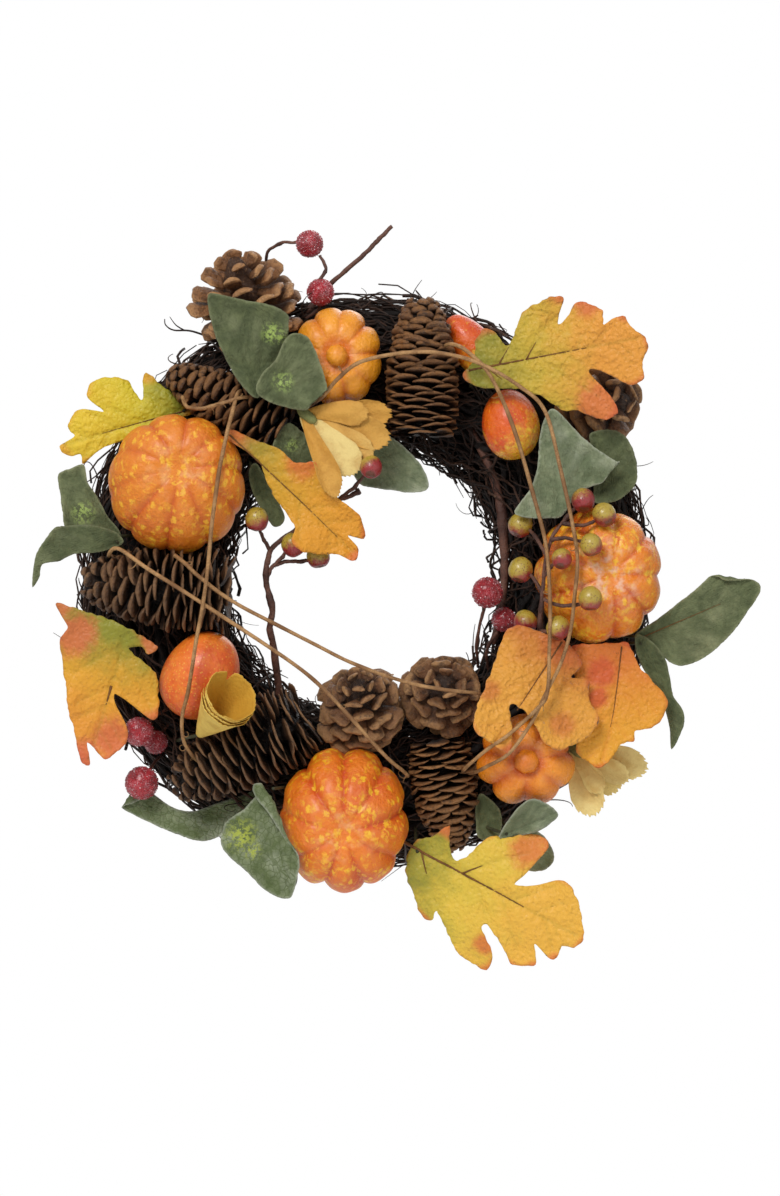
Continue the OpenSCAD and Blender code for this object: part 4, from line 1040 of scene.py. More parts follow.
def flat_leaf(solid, spin, heel):
    """A flat CAD leaf read back: its axes, its origin, its outline and the end of its stem wire.

    The axes are columns: y runs along the leaf at `spin` degrees and z is its front. The origin lies
    `heel` millimetres from where the wire leaves the leaf."""
    z = unit(np.array(max(solid.faces, key=lambda f: f.calc_area()).normal))
    z = z if z[1] < 0 else -z
    s = math.radians(spin)
    y = unit(np.array([math.cos(s), -(z[0] * math.cos(s) + z[2] * math.sin(s)) / z[1], math.sin(s)]))
    axes = np.column_stack([np.cross(y, z), y, z])
    points = {v: np.array(v.co) @ axes for v in solid.verts}
    facing = [f for f in solid.faces if f.normal.dot(Vector(z)) > 0.99]
    top = points[max(facing, key=lambda f: f.calc_area()).verts[0]][2]
    level_within, apart_by, wire_end = 0.02 * MM, 0.03 * MM, 0.9 * MM
    front = [f for f in facing if all(abs(points[v][2] - top) < level_within for v in f.verts)]
    flat = set(front)
    ahead = {}
    for f in front:
        for loop in f.loops:
            if not any(g in flat for g in loop.edge.link_faces if g is not f):
                ahead[loop.vert] = loop.link_loop_next.vert
    outline = []
    while ahead:
        v, line = next(iter(ahead)), []
        while v in ahead:
            line.append(points[v])
            v = ahead.pop(v)
        if not outline or np.ptp(line, axis=0).max() > np.ptp(outline, axis=0).max():
            outline = line
    outline = np.array(outline)
    # The stem's wire leaves the back face where that face has corners that the front doesn't
    back = np.array([p for p in points.values() if abs(p[2] - top + PLATE_THICK) < level_within])
    apart = np.linalg.norm(back[:, None, :2] - outline[None, :, :2], axis=2).min(1)
    hole = back[apart > apart_by].mean(0)
    origin = np.array([hole[0] - heel[0] * MM, hole[1] - heel[1] * MM, top])
    low = min(p[2] for p in points.values())
    foot = np.mean([p for p in points.values() if p[2] < low + wire_end], axis=0) - origin
    return axes, axes @ origin, outline[:, :2] - origin[:2], foot


def inside(polygon, points):
    """Which points lie inside the polygon."""
    x, y = points[:, 0:1], points[:, 1:2]
    ax, ay = polygon[:, 0], polygon[:, 1]
    bx, by = np.roll(ax, -1), np.roll(ay, -1)
    crossing = ((ay > y) != (by > y)) & (x < (bx - ax) * (y - ay) / np.where(by == ay, 1e-12, by - ay) + ax)
    return crossing.sum(1) % 2 == 1


def line_distance(points, a, b):
    """The distance from each point to the segment from a to b, and how far along it that is."""
    ab = b - a
    t = np.clip(((points - a) @ ab) / max(ab @ ab, 1e-12), 0, 1)
    return np.linalg.norm(points - (a + t[:, None] * ab), axis=1), t


def edge_distance(points, outline):
    """The distance from each point to the outline."""
    nearest = np.full(len(points), 1.0)
    for a, b in zip(outline, np.roll(outline, -1, 0)):
        nearest = np.minimum(nearest, line_distance(points, a, b)[0])
    return nearest


def leaf_veins(outline, length, lobed):
    """The midrib, then side veins in pairs that stop short of the edge."""
    tip = outline[np.argmax(outline[:, 1] - 0.5 * np.abs(outline[:, 0]))]
    base = np.array([0, 0.001])
    bend = np.array([tip[0] * 0.35, tip[1] * 0.55])
    rib = smooth([base, bend, base + 0.96 * (tip - base)], 8)
    veins = [rib]
    spacing = (0.17 if lobed else 0.13) * length
    at = 0.14 * length
    side = 1
    while at < 0.86 * length:
        k = min(len(rib) - 2, int(at / length * len(rib)))
        start = rib[k]
        ahead = unit(rib[k + 1] - rib[k])
        for s in (side, -side):
            turn = math.radians(s * (52 if lobed else 44))
            way = np.array([ahead[0] * math.cos(turn) + ahead[1] * math.sin(turn),
                            -ahead[0] * math.sin(turn) + ahead[1] * math.cos(turn)])
            reach = np.linspace(0.002, length, 60)
            run = start + reach[:, None] * way + (reach**2)[:, None] * ahead * (6 if lobed else 8)
            within = inside(outline, run)
            last = len(run) if within.all() else int(np.argmin(within))
            if last > 4:
                veins.append(np.vstack([start, run[: int(last * 0.9)]])[::3])
            start = rib[min(len(rib) - 2, k + 1)]
        side = -side
        at += spacing
    return veins


def vein_field(points, veins):
    """How far each point is from the midrib and from the nearest side vein."""
    fields = []
    for group in (veins[:1], veins[1:]):
        nearest = np.full(len(points), 1.0)
        for vein in group:
            for a, b in zip(vein, vein[1:]):
                nearest = np.minimum(nearest, line_distance(points, a, b)[0])
        fields.append(nearest)
    return fields


def leaf_grid(outline, spacing):
    """Points inside an outline on a staggered grid."""
    low, high = outline.min(0), outline.max(0)
    rows = np.arange(low[1], high[1], spacing * 0.87)
    grid = np.array([[x, y] for i, y in enumerate(rows)
                     for x in np.arange(low[0] + (i % 2) * spacing / 2, high[0], spacing)])
    grid = grid[inside(outline, grid)]
    return grid[edge_distance(grid, outline) > spacing * 0.45]


def lobe_share(points, grid, spacing, reach):
    """How near each point is to a lobe's tip: 1 at the end of a narrow lobe, 0 in the leaf's middle."""
    full = math.pi * reach**2 / (spacing**2 * 0.87)
    counts = np.zeros(len(points))
    for i in range(0, len(points), 400):
        gap = np.linalg.norm(points[i:i + 400, None] - grid[None], axis=2)
        counts[i:i + 400] = (gap < reach).sum(1)
    return np.clip((0.56 - counts / full) / 0.3, 0, 1)


def place_leaf(piece, axes, origin):
    """Puts a piece modelled in a leaf's own frame where the leaf is."""
    matrix = Matrix(axes.tolist()).to_4x4()
    matrix.translation = Vector(origin)
    piece.matrix_world = matrix
    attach(piece, "wreath")


def roll_over(points, start, way, turn, radius):
    """Rolls the part of a sheet beyond a line over itself.

    The line goes through start (in millimetres), square to the direction `way` in degrees. The sheet
    turns by `turn` degrees round a radius in millimetres."""
    across = np.array([math.cos(math.radians(way)), math.sin(math.radians(way))])
    beyond = (points[:, :2] - np.array(start) * MM) @ across
    r = radius * MM
    roll = np.clip(beyond / r, 0, math.radians(turn))
    rest = np.maximum(beyond - r * math.radians(turn), 0)
    height = points[:, 2]
    rolled = beyond > 0
    run = (r - height) * np.sin(roll) + rest * np.cos(roll)
    up = r - (r - height) * np.cos(roll) + rest * np.sin(roll)
    points[rolled, :2] += ((run - beyond)[:, None] * across)[rolled]
    points[rolled, 2] = up[rolled]


def cloth_faces(flat, triangles):
    """The faces of a sheet of cloth: the triangles in front and behind, and its edge between them."""
    count = len(flat)
    front = []
    for triangle in triangles:
        a, b, c = (flat[k] for k in triangle)
        turn = (b[0] - a[0]) * (c[1] - a[1]) - (b[1] - a[1]) * (c[0] - a[0])
        front.append(tuple(triangle) if turn > 0 else tuple(reversed(triangle)))
    faces = [face for t in front for face in (t, tuple(count + k for k in reversed(t)))]
    sides = {(a, b): None for t in front for a, b in zip(t, t[1:] + t[:1])}
    return faces + [(b, a, count + a, count + b) for a, b in sides if (b, a) not in sides]


def leaf_sheet(heap, outline, seed, lobed, bend=(0, 0, 0), wave=1.0, emboss=0.3, fold=None, spotted=()):
    """A thin crinkled leaf with an embossed network of veins, in its own frame.

    bend is (how far the tip comes forward, how far the sides do, how far it twists), in millimetres.
    fold is (point, direction, turn, radius), as roll_over takes them. spotted lists patches of the
    other colour: x, y and radius in millimetres. Returns the veins, and the leaf's points and heights."""
    outline = spaced(smooth_loop(outline, 5), 0.9 * MM)
    if (np.roll(outline[:, 0], -1) * outline[:, 1] - outline[:, 0] * np.roll(outline[:, 1], -1)).sum() > 0:
        outline = outline[::-1]
    ragged = np.column_stack([outline, np.zeros(len(outline))]) / MM
    fray = (rough(ragged, 0.9, seed) * 0.22 + rough(ragged, 0.3, seed + 5) * (0.9 if lobed else 0.2)) * MM
    outline = outline + fray[:, None] * unit(outline - outline.mean(0))
    length = outline[:, 1].max()
    width = np.abs(outline[:, 0]).max()
    grid = leaf_grid(outline, CLOTH_GRID)
    flat = np.vstack([outline, grid])
    edges = [(i, (i + 1) % len(outline)) for i in range(len(outline))]
    made = geometry.delaunay_2d_cdt([Vector(p) for p in flat], edges, [], 1, 1e-9)
    flat = np.array([tuple(p) for p in made[0]])
    x, y = flat[:, 0], flat[:, 1]
    veins = leaf_veins(outline, length, lobed)
    rib_gap, side_gap = vein_field(flat, veins)
    border = edge_distance(flat, outline)
    on_leaf = np.column_stack([flat, np.zeros(len(flat))]) / MM
    share = y / length
    tip_bend, side_bend, twist = bend
    z = MM * (tip_bend * np.sign(share) * np.abs(share) ** 2 + side_bend * (x / width) ** 2
              + twist * share * x / width)
    away = 1 - step_up(border, 0, 0.3 * width)
    z += MM * wave * away * rough(on_leaf, 0.075, seed + 1) * 2.6
    z += MM * wave * rough(on_leaf, 0.045, seed + 2) * 1.5
    z -= MM * (0.55 * np.exp(-(rib_gap / (0.9 * MM)) ** 2) + 0.32 * np.exp(-(side_gap / (0.7 * MM)) ** 2))
    z += MM * 0.75 * np.minimum(1, np.minimum(rib_gap, side_gap) / (4 * MM)) ** 0.7
    z += MM * emboss * rough(on_leaf, 0.55, seed + 3) + MM * 0.5 * emboss * rough(on_leaf, 1.1, seed + 4)
    patches = np.zeros(len(flat))
    for px, py, radius in spotted:
        patches = np.maximum(patches, np.clip(1.4 - np.hypot(x / MM - px, y / MM - py) / radius, 0, 1))
    top = np.column_stack([flat, z])
    both = np.vstack([top, top - [0, 0, CLOTH_THICK]])
    if fold:
        roll_over(both, *fold)
    rib_line = np.exp(-(rib_gap / (0.7 * MM)) ** 2)
    side_line = 0.6 * np.exp(-(side_gap / (0.6 * MM)) ** 2)
    values = dict(along=share, tip=lobe_share(flat, grid, CLOTH_GRID, 9 * MM), spotted=patches,
                  rim=1 - step_up(border, 0.25 * MM, 0.9 * MM), vein=np.maximum(rib_line, side_line))
    values = {k: np.concatenate([v, v]) for k, v in values.items()}
    heap.add(both, cloth_faces(flat, made[2]), pale=0.5, **values)
    return veins, flat, z


def rib_ridges(heap, veins, flat, height, thick, dashes, run):
    """The brown line printed along part of the midrib, and dashes where three side veins leave it."""
    from_here, to_here = (int(len(veins[0]) * share) for share in run)
    lines = [(veins[0][from_here:to_here], thick)]
    if dashes:
        lines += [(vein[:max(3, int(len(vein) * dashes))], thick * 0.7) for vein in veins[1:4]]
    for line, wide in lines:
        if len(line) < 3:
            continue
        line = smooth(line, 4)
        near = [int(np.argmin(np.hypot(*(flat - p).T))) for p in line]
        t = np.linspace(0, 1, len(line))
        points = np.column_stack([line, height[near] + 0.15 * MM])
        heap.add(*tube(points, MM * wide * (1 - 0.7 * t), 6), slot=1)


def leaf(node, spin, cloth, slot, seed, heel=(0, 3), solid=None, name=None, ridge=0.0, dashes=0.0,
         run=(0, 0.7), lobed=False, **shape):
    """A leaf with its stem wire, built over its flat CAD plate.

    ridge is the radius of the brown line on its midrib, from one share of its length to another (run)."""
    solid = solid or cad_solids(node)[0]
    axes, origin, outline, foot = flat_leaf(solid, spin, heel)
    heap = Heap(*LEAF_NAMES)
    veins, flat, height = leaf_sheet(heap, outline, seed, lobed, **shape)
    if ridge:
        rib_ridges(heap, veins, flat, height, ridge, dashes, run)
    heel_at = np.array([heel[0] * MM, heel[1] * MM, -0.6 * MM])
    way = foot - heel_at
    stem = smooth([heel_at, heel_at + way * 0.4 + [0.6 * MM, 0, 0], foot], 5)
    heap.add(*tube(stem, STEM_R, 7), slot=2)
    piece = heap.build(name or node + "_cloth", [cloth, RIB, STEM_WRAP], slot, [node])
    place_leaf(piece, axes, origin)


def oak_leaf(place, spin, cloth, seed, **more):
    """A lobed autumn leaf."""
    leaf("oak_leaf_" + place, spin, cloth, "autumn_leaf", seed, lobed=True, **more)


def sage_leaf(place, spin, cloth, seed, emboss=0.12, **more):
    """A smooth green leaf."""
    leaf("sage_" + place, spin, cloth, "sage_leaf", seed, emboss=emboss, **more)


GREEN_OAK = oak_cloth("upper_oak_cloth", rgb(134, 136, 34), rgb(206, 186, 34), rgb(222, 188, 44),
                      rgb(214, 150, 40), 0.15)
INNER_OAK = oak_cloth("inner_oak_cloth", rgb(140, 130, 36), rgb(206, 154, 34), rgb(222, 150, 36),
                      rgb(206, 92, 40), 0.2, 0.7)
TOP_OAK = oak_cloth("top_oak_cloth", rgb(136, 132, 38), rgb(198, 168, 50), rgb(226, 152, 54),
                    rgb(204, 94, 52), 0.35, 0.7)
GOLD_OAK = oak_cloth("gold_oak_cloth", rgb(200, 116, 42), rgb(222, 152, 52), rgb(228, 160, 56),
                     rgb(190, 86, 38), 0.4, 0.55)
CORAL_OAK = oak_cloth("coral_oak_cloth", rgb(216, 118, 42), rgb(222, 142, 38), rgb(230, 160, 40),
                      rgb(202, 78, 40), 0.2, 0.8)
LOWER_OAK = oak_cloth("lower_oak_cloth", rgb(140, 136, 36), rgb(222, 160, 40), rgb(226, 148, 46),
                      rgb(208, 100, 60), 0.15, 0.8)
BOTTOM_OAK = oak_cloth("bottom_oak_cloth", rgb(140, 138, 40), rgb(222, 190, 62), rgb(236, 178, 62),
                       rgb(214, 92, 48), 0.2, 0.7)
RIB = dried_stem("leaf_rib_cord", rgb(84, 50, 22), rgb(140, 94, 42), 0.55)

DEEP_SAGE = sage_cloth("deep_sage_cloth", rgb(68, 77, 46), rgb(98, 106, 68), rgb(136, 140, 104),
                       rgb(156, 178, 92), 0.15)
SAGE = sage_cloth("sage_cloth", rgb(78, 87, 54), rgb(110, 118, 80), rgb(154, 156, 118),
                  rgb(164, 186, 102), 0.2)
CORNER_SAGE = sage_cloth("corner_sage_cloth", rgb(98, 110, 78), rgb(136, 144, 110), rgb(186, 190, 168),
                         rgb(176, 184, 110), 0.2)
PALE_SAGE = sage_cloth("pale_sage_cloth", rgb(84, 98, 54), rgb(128, 138, 102), rgb(184, 188, 168),
                       rgb(168, 178, 72), 0.7)

oak_leaf("upper_left", 194, GREEN_OAK, 101, ridge=0.4, bend=(2.5, -2.5, 1), wave=1.1, emboss=0.24)
oak_leaf("inner", 318, INNER_OAK, 102, ridge=0.45, run=(0, 0.85), bend=(-2, 3, 1), wave=1.1, emboss=0.24,
         spotted=[(-13, 36, 9)])
oak_leaf("lower_left", 255, LOWER_OAK, 103, ridge=0.8, run=(0.4, 0.56), bend=(1, -3, -1), wave=1.1,
         emboss=0.22, spotted=[(23, 8, 12), (-6, 52, 11), (4, 62, 9)])
oak_leaf("top_right", 11, TOP_OAK, 104, heel=(3, 3), ridge=0.6, dashes=0.16, bend=(2, -3, 1.5), wave=1.2,
         emboss=0.4, spotted=[(28, 60, 14), (-20, 62, 7)])
oak_leaf("front_right", 236, GOLD_OAK, 105, ridge=0.5, bend=(2, -3, -1), wave=1.4, emboss=0.3,
         spotted=[(-2, 2, 13), (-22, 34, 7), (16, 40, 6), (-10, 60, 6)])
oak_leaf("lower_right", 267, CORAL_OAK, 106, heel=(2, 4), ridge=0.4, bend=(2, -2, 1), emboss=0.26,
         spotted=[(9, 14, 9), (10, 26, 6)])
oak_leaf("bottom", 333, BOTTOM_OAK, 107, heel=(1, 9), ridge=0.8, dashes=0.3, bend=(3, -4, 1), wave=1.2,
         emboss=0.28, spotted=[(-24, 56, 10), (26, 58, 6)])

sage_leaf("leaf_top", 119, DEEP_SAGE, 111, bend=(2, 3, 0), wave=1.3, spotted=[(18, 24, 4.5), (21, 20, 3)])
sage_leaf("leaf_top_fold", 53, SAGE, 112, 0.14, heel=(6, 8), bend=(1, 2, 0), wave=1.2,
          spotted=[(2, 12, 4.5)], fold=((20, 14), -12, 200, 1.7))
sage_leaf("leaf_left", 123, SAGE, 113, heel=(0.5, 3), bend=(-2, 2, 1), wave=1.2, spotted=[(-8, 22, 5)])
sage_leaf("leaf_left_droop", 198, DEEP_SAGE, 114, heel=(1, 2), bend=(2, -2, 1))
# A paler cloth than its neighbours: painted light on a leaf that lies in shade
sage_leaf("leaf_inner_top", 332, CORNER_SAGE, 115, bend=(1, 2, 0))
lower_leaf, upper_leaf = sorted(cad_solids("sage_leaves_inner_left"),
                                key=lambda solid: np.mean([v.co.x for v in solid.verts]))
sage_leaf("leaves_inner_left", 105, SAGE, 116, heel=(2, 4), solid=upper_leaf,
          name="sage_leaf_inner_upper_cloth", bend=(1, 1.5, 0), spotted=[(0, 12, 3)])
sage_leaf("leaves_inner_left", 288, DEEP_SAGE, 117, heel=(-1, 3), solid=lower_leaf,
          name="sage_leaf_inner_lower_cloth", bend=(1, 1.5, 0))
sage_leaf("leaf_right_inner", 97, CORNER_SAGE, 118, 0.14, bend=(1, 4, 1), fold=((26, 16), -50, 160, 2.0))
sage_leaf("leaf_right_outer", 80, DEEP_SAGE, 119, 0.14, bend=(1, 2, 0))
sage_leaf("leaf_far_right", 23, SAGE, 120, 0.14, ridge=0.3, bend=(2, 5, 2), fold=((-12, 46), 150, 120, 3))
sage_leaf("leaf_right_droop", 289, DEEP_SAGE, 121, heel=(-1, 3), bend=(2, 2, 0))
sage_leaf("leaf_bottom_left", 177, PALE_SAGE, 122, 0.14, heel=(-4, 3), bend=(1, 4, 1),
          fold=((-2, 56), 60, 150, 2.4))
sage_leaf("leaf_bottom_fold", 280, PALE_SAGE, 123, 0.16, heel=(-1, 3), bend=(-1, 3, 0), wave=1.2,
          spotted=[(18, 22, 7), (14, 30, 4)], fold=((-7, 34), 200, 170, 1.6))
sage_leaf("leaf_corner_upper", 25, CORNER_SAGE, 124, bend=(1, 1.5, 0))
sage_leaf("leaf_corner_lower", 320, CORNER_SAGE, 125, heel=(-1, 3), bend=(1, 1.5, 0))
sage_leaf("leaf_corner_inner", 288, SAGE, 126, heel=(-1, 3), bend=(1, 1.5, 0))


# ---- Paper blooms ----

MUSTARD = petal_paper("mustard_paper", rgb(172, 118, 44), rgb(208, 154, 68), rgb(230, 204, 132))
GOLD_PAPER = petal_paper("gold_paper", rgb(184, 134, 42), rgb(204, 154, 50), rgb(236, 204, 106))
CREAM = petal_paper("cream_paper", rgb(206, 160, 76), rgb(208, 164, 70), rgb(244, 220, 146))


def petal(heap, turn, length, spread, lift, pale, seed, cup=0.25, teeth=4, narrow=0.2, pleats=2, curl=0.0):
    """A paper petal from the bloom's foot, `turn` degrees left of its middle line, in millimetres.

    lift and curl raise it along its length, cup lifts its sides, teeth and pleats are the waves of its
    end and of its face, and narrow is the width of its foot as a share of its spread."""
    rows, columns = 32, 41
    s = np.linspace(0, 1, rows)[:, None] * np.ones((1, columns))
    u = np.ones((rows, 1)) * np.linspace(-1, 1, columns)[None]
    wide = spread / 2 * (narrow + (1 - narrow) * s**0.75) * (1 - 0.18 * step_up(s, 0.8, 1))
    ragged = 0.035 * np.abs(np.sin(teeth * 1.6 * u + seed)) + 0.012 * np.sin(31 * u + seed)
    y = length * s * (1 - 0.16 * u**2 * s) + length * ragged * step_up(s, 0.75, 1)
    x = wide * u + 0.5 * np.sin(5 * s + seed)
    folds = 0.22 * s**0.6 * np.cos(pleats * math.pi * u + 2 * np.sin(2 * s + seed))
    z = length * (lift * s + curl * s**3) + cup * wide * u**2 + folds + 0.25 * np.sin(9 * s + 4 * u + seed)
    t = math.radians(turn)
    flat = np.stack([x * math.cos(t) - y * math.sin(t), x * math.sin(t) + y * math.cos(t), z], axis=-1)
    top = flat.reshape(-1, 3) * MM
    bottom = top - [0, 0, 0.35 * MM]
    # Painted light: the petal's given paleness, a little more towards its end
    tone = np.clip(pale + 0.2 * (s.ravel() - 0.5), 0, 1)
    heap.add(np.vstack([top, bottom]), sheet_faces(rows, columns), along=np.tile(s.ravel(), 2),
             pale=np.tile(tone, 2))


def bloom(node, spin, heel, petals, paper):
    """A paper bloom seen from its side: petals that leave one calyx, the far ones first."""
    axes, origin, _, foot = flat_leaf(cad_solids(node)[0], spin, heel)
    heap = Heap(*LEAF_NAMES)
    for k, shape in enumerate(petals):
        petal(heap, seed=k * 1.7 + 0.4, **shape)
    calyx = smooth(np.array([[0, -4, -0.5], [0, -2, 0], [0, 1, 1.2], [0, 4, 1.4], [0, 7, 1.6]]) * MM, 4)
    swell = np.interp(np.linspace(0, 1, len(calyx)), [0, 0.35, 0.8, 1], [0.9, 2.6, 2.4, 1.2])
    heap.add(*tube(calyx, swell * MM, 12), slot=2)
    start = np.array([0, -3, -0.6]) * MM
    heap.add(*tube(smooth([start, (start + foot) / 2, foot], 5), STEM_R, 7), slot=2)
    piece = heap.build(node + "_paper", [paper, RIB, CALYX], "paper_bloom", [node])
    place_leaf(piece, axes, origin)


CALYX = dried_stem("calyx_green", rgb(88, 94, 52), rgb(140, 142, 84), 0.6)

# Each petal's pale number is how much painted light it is drawn with
bloom("bloom_top", 321, (2, 3), [
    dict(turn=38, length=41, spread=15, lift=-0.02, pale=0.1),
    dict(turn=22, length=42, spread=18, lift=0.03, pale=0.2, teeth=5),
    dict(turn=4, length=39, spread=19, lift=0.1, pale=0.35, teeth=5, cup=-0.1),
    dict(turn=-12, length=37, spread=22, lift=0.16, pale=0.95, cup=-0.12, teeth=1, pleats=1, narrow=0.3),
    dict(turn=-30, length=42, spread=13, lift=0.2, pale=0.2, teeth=1, pleats=1, cup=0.4),
    dict(turn=40, length=30, spread=14, lift=0.24, pale=0.2, cup=-0.3, curl=-0.1, teeth=3),
], MUSTARD)
bloom("bloom_corner", 320, (1, 4), [
    dict(turn=-4, length=30, spread=20, lift=-0.06, pale=0.7, teeth=5),
    dict(turn=24, length=37, spread=17, lift=0.04, pale=0.9, teeth=6, pleats=1),
    dict(turn=10, length=31, spread=13, lift=0.14, pale=0.75, teeth=5, pleats=1, cup=0.4),
    dict(turn=-33, length=34, spread=18, lift=0.1, pale=0.9, teeth=6, pleats=1),
    dict(turn=-18, length=26, spread=12, lift=0.18, pale=0.7, teeth=5, pleats=1, cup=0.4),
], CREAM)


def cup_mouth(node, axes):
    """The centre and radius of a cup's open end."""
    local = cad_points(node) @ axes
    top = local[local[:, 2] > local[:, 2].max() - 0.5 * MM]
    low, high = top.min(0), top.max(0)
    return axes @ np.array([(low[0] + high[0]) / 2, (low[1] + high[1]) / 2, high[2]]), (high[0] - low[0]) / 2


def rolled_bloom():
    """Paper petals rolled into a pointed cup, the outer ones shorter than the one inside them."""
    axes = aim(49, 45)
    mouth, mouth_r = cup_mouth("bloom_rolled", axes)
    depth, foot_r, paper = 35 * MM, 2.2 * MM, 0.4 * MM
    up = np.array([0, 0, 1.0]) @ axes
    above = math.atan2(up[1], up[0])
    rng = np.random.default_rng(41)
    rows, columns = 30, 110
    s = np.linspace(0, 1, rows)[:, None]
    heap = Heap(*LEAF_NAMES)
    # Each petal: its middle, how far it sweeps round, how far out it lies in millimetres, height and notch
    wraps = ((above - 0.25, 7.0, 0.0, 1.0, 0.16), (above + 2.7, 4.4, 0.8, 0.95, 0.0),
             (above + 2.9, 3.9, 1.6, 0.89, 0.0), (above + 2.6, 3.0, 2.3, 0.83, 0.0))
    for k, (middle_at, sweep, outset, tall, notch) in enumerate(wraps):
        innermost = k == 0
        a = middle_at + np.linspace(-sweep / 2, sweep / 2, columns)
        off = np.angle(np.exp(1j * (a - middle_at)))
        end = tall + 0.04 * np.cos(off) * innermost - notch * np.exp(-(off / 0.1) ** 2)
        end = end + 0.012 * np.abs(np.sin(a * 17 + k)) + 0.006 * rng.standard_normal(columns)
        share = s * end[None, :]
        wind = outset + 0.7 * (np.arange(columns) / columns)[None, :] * innermost
        reach = foot_r + (mouth_r - foot_r) * share**0.92 + (wind * (0.25 + 0.75 * s) - 0.9) * MM
        reach = reach + (0.25 * np.sin(a * 7 + k)[None, :] * s + 0.5 * step_up(s, 0.86, 1)) * MM
        reach = np.maximum(reach, 0.8 * MM)
        outer = np.stack([reach * np.cos(a)[None], reach * np.sin(a)[None], share * depth], axis=-1)
        outer = outer.reshape(-1, 3)
        inward = np.stack([np.cos(a), np.sin(a), 0 * a], axis=-1)[None].repeat(rows, 0).reshape(-1, 3)
        sheet = np.vstack([outer, outer - paper * inward])
        # Painted light and shade: each petal's outside is drawn paler, its inside, within the cup, darker
        heap.add(mouth + (sheet - [0, 0, depth]) @ axes.T, sheet_faces(rows, columns),
                 pale=np.repeat([0.75, 0.0], rows * columns))
    line = smooth(route([[-79.6, -74.2, 43.6], [-86, -76, 34], [-92, -78, 14]]), 6)
    heap.add(*tube(line, 0.85 * MM, 7), slot=1)
    heap.build("bloom_rolled_paper", [GOLD_PAPER, STEM_WRAP], "paper_bloom", ["bloom_rolled"])


rolled_bloom()


# ---- Berries ----


def ball(centre, radius, detail, axis=(0, 0, 1), tall=1.0, uneven=0.0, seed=0.0):
    """A round body, a little uneven, whose size along its axis is `tall` times the rest."""
    rows, columns = detail, detail * 2
    a = np.linspace(0, 2 * math.pi, columns, endpoint=False)
    rings = []
    for level in np.radians(np.linspace(-88, 88, rows)):
        r = math.cos(level)
        height = np.full(columns, tall * math.sin(level))
        rings.append(np.column_stack([r * np.cos(a), r * np.sin(a), height]))
    points = np.vstack(rings)
    points *= (1 + uneven * rough(points, 2.4, seed))[:, None]
    turn = np.array(Vector((0, 0, 1)).rotation_difference(Vector(axis)).to_matrix())
    return np.asarray(centre) + radius * points @ turn.T, capped(rows, columns)


def berry_spheres(node):
    """The centre and radius of each berry in a CAD node."""
    found = []
    for solid in cad_solids(node):
        points = np.array([v.co[:] for v in solid.verts])
        found.append(((points.min(0) + points.max(0)) / 2, np.ptp(points, axis=0).max() / 2))
    return found


def frosted_berries():
    """Crimson berries with their sugar coat of small clear beads."""
    rng = np.random.default_rng(51)
    skin, sugar = Heap("tone"), Heap("tone")
    for k, (centre, radius) in enumerate(berry_spheres("frosted_berries")):
        skin.add(*ball(centre, radius * 0.97, 22, uneven=0.03, seed=k))
        count = int(300 * (radius / (6 * MM)) ** 2)
        for i in range(count):
            z = 1 - 2 * (i + 0.5) / count
            r = math.sqrt(1 - z * z)
            a = i * GOLDEN_ANGLE
            way = unit(np.array([r * math.cos(a), r * math.sin(a), z]) + 0.07 * rng.standard_normal(3))
            size = rng.uniform(0.16, 0.4) * MM
            sugar.add(*ball(centre + way * radius * 0.985, size, 5, way, 0.7), tone=rng.uniform(0, 1))
    skin.build("frosted_berry_skins", [sugar_skin()], "frosted_berry", ["frosted_berries"])
    sugar.build("frosted_berry_sugar", [sugar_grain()], "frosted_berry")


def spray_berries(node, seed):
    """Small waxy berries, yellow-green above and red below, each with the dry star of its calyx.

    The highest of them is the ripest."""
    rng = np.random.default_rng(seed)
    heap = Heap("ripe", "eye")
    spheres = berry_spheres(node)
    ripest = max(range(len(spheres)), key=lambda k: spheres[k][0][2])
    star_points = 5
    for k, (centre, radius) in enumerate(spheres):
        axis = unit(np.array([rng.uniform(-0.6, 0.6), rng.uniform(-1, 0.3), -1]))
        points, faces = ball(centre, radius, 24, axis, 1.1, 0.035, seed + k)
        along = (points - centre) @ axis / radius
        eye = np.clip((along - 0.99) / 0.01, 0, 1)
        points = points - axis * (0.1 * radius * step_up(along, 0.9, 1.0))[:, None]
        shade = unit(np.array([rng.uniform(-0.5, 0.7), rng.uniform(0, 0.5), -1]))
        ripe = 0.5 + (points - centre) @ shade / radius * 0.55 + rng.uniform(-0.1, 0.3) + 0.4 * (k == ripest)
        heap.add(points, faces, ripe=ripe, eye=eye)
        side = unit(np.cross(axis, [0.3, 0.1, 0.9]))
        other = np.cross(axis, side)
        for turn in np.arange(star_points) * FULL_TURN / star_points:
            out = math.cos(turn) * side + math.sin(turn) * other
            start = centre + axis * radius * 0.86
            middle = start + out * radius * 0.12 + axis * 0.2 * MM
            line = smooth([start, middle, start + out * radius * 0.3 + axis * 0.5 * MM], 3)
            heap.add(*tube(line, np.linspace(0.35, 0.08, len(line)) * MM, 5), eye=1.0)
    heap.build(node + "_wax", [BERRY], "speckled_berry", [node])


BERRY = berry_skin("speckled_berry_wax", rgb(150, 40, 42), rgb(178, 152, 54), rgb(104, 50, 28))
frosted_berries()
spray_berries("spray_left_berries", 61)
spray_berries("spray_right_berries", 71)


# ---- The studio ----


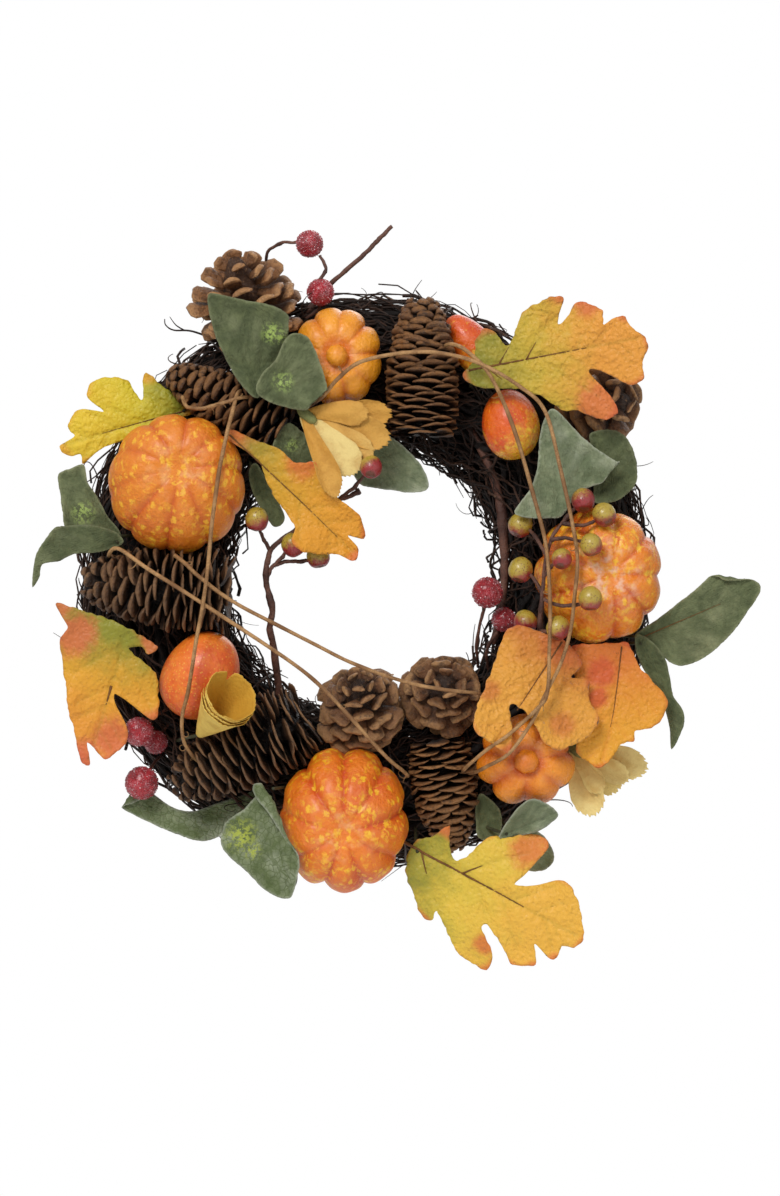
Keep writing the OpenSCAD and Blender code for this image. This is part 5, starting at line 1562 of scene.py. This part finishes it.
def soft_light(name, place, size, power):
    """A square lamp that shines on the middle of the wreath."""
    lamp = bpy.data.lights.new(name, "AREA")
    lamp.shape, lamp.size, lamp.energy = "SQUARE", size, power
    holder = bpy.data.objects.new(name, lamp)
    bpy.context.scene.collection.objects.link(holder)
    holder.location = place
    middle = (CAD_LOW + CAD_HIGH) / 2
    holder.rotation_euler = (middle - Vector(place)).to_track_quat("-Z", "Y").to_euler()


def white_room(light):
    """A world that is seen as white and lights the wreath with less than that."""
    world = bpy.data.worlds.new("white_room")
    bpy.context.scene.world = world
    world.use_nodes = True
    room = world.node_tree
    background = room.nodes["Background"]
    background.inputs["Color"].default_value = (1, 1, 1, 1)
    seen = room.nodes.new("ShaderNodeLightPath")
    strength = room.nodes.new("ShaderNodeMapRange")
    strength.inputs["To Min"].default_value = light
    room.links.new(seen.outputs["Is Camera Ray"], strength.inputs["Value"])
    room.links.new(strength.outputs["Result"], background.inputs["Strength"])


def floor_disc(radius, drop):
    """A plain pale floor under the wreath."""
    sides = 64
    mesh = bpy.data.meshes.new("floor")
    turn = np.linspace(0, 2 * math.pi, sides, endpoint=False)
    rim = [(radius * math.cos(a), radius * math.sin(a), drop) for a in turn]
    mesh.from_pydata(rim, [], [tuple(range(sides))])
    floor = bpy.data.objects.new("floor", mesh)
    bpy.context.scene.collection.objects.link(floor)
    mesh.materials.append(Recipe("pale_floor", Base_Color=rgb(250, 250, 250), Roughness=0.9).material)


def front_camera(distance, seen_height, front_plane, aside, lower):
    """A camera straight in front. It sees seen_height metres in the plane front_plane before the centre."""
    camera = bpy.data.objects.new("camera", bpy.data.cameras.new("camera"))
    bpy.context.scene.collection.objects.link(camera)
    camera.location = (aside, CENTRE.y - distance, CENTRE.z - lower)
    camera.rotation_euler = (math.radians(90), 0, 0)
    sensor = 24
    camera.data.sensor_fit = "VERTICAL"
    camera.data.sensor_height = sensor
    camera.data.lens = sensor * (distance - front_plane) / seen_height
    bpy.context.scene.camera = camera


soft_light("key", (-0.6, -1.5, 1.0), 0.7, 23)
soft_light("fill", (1.3, -1.4, 0.1), 1.4, 4)
soft_light("back", (0.5, 1.4, 0.9), 1.2, 9)
bpy.context.scene.view_settings.view_transform = "Standard"
white_room(0.46)
floor_disc(1.2, CAD_LOW.z - 0.45)
front_camera(2.3, 0.574, 0.04, 0.012, 0.0086)
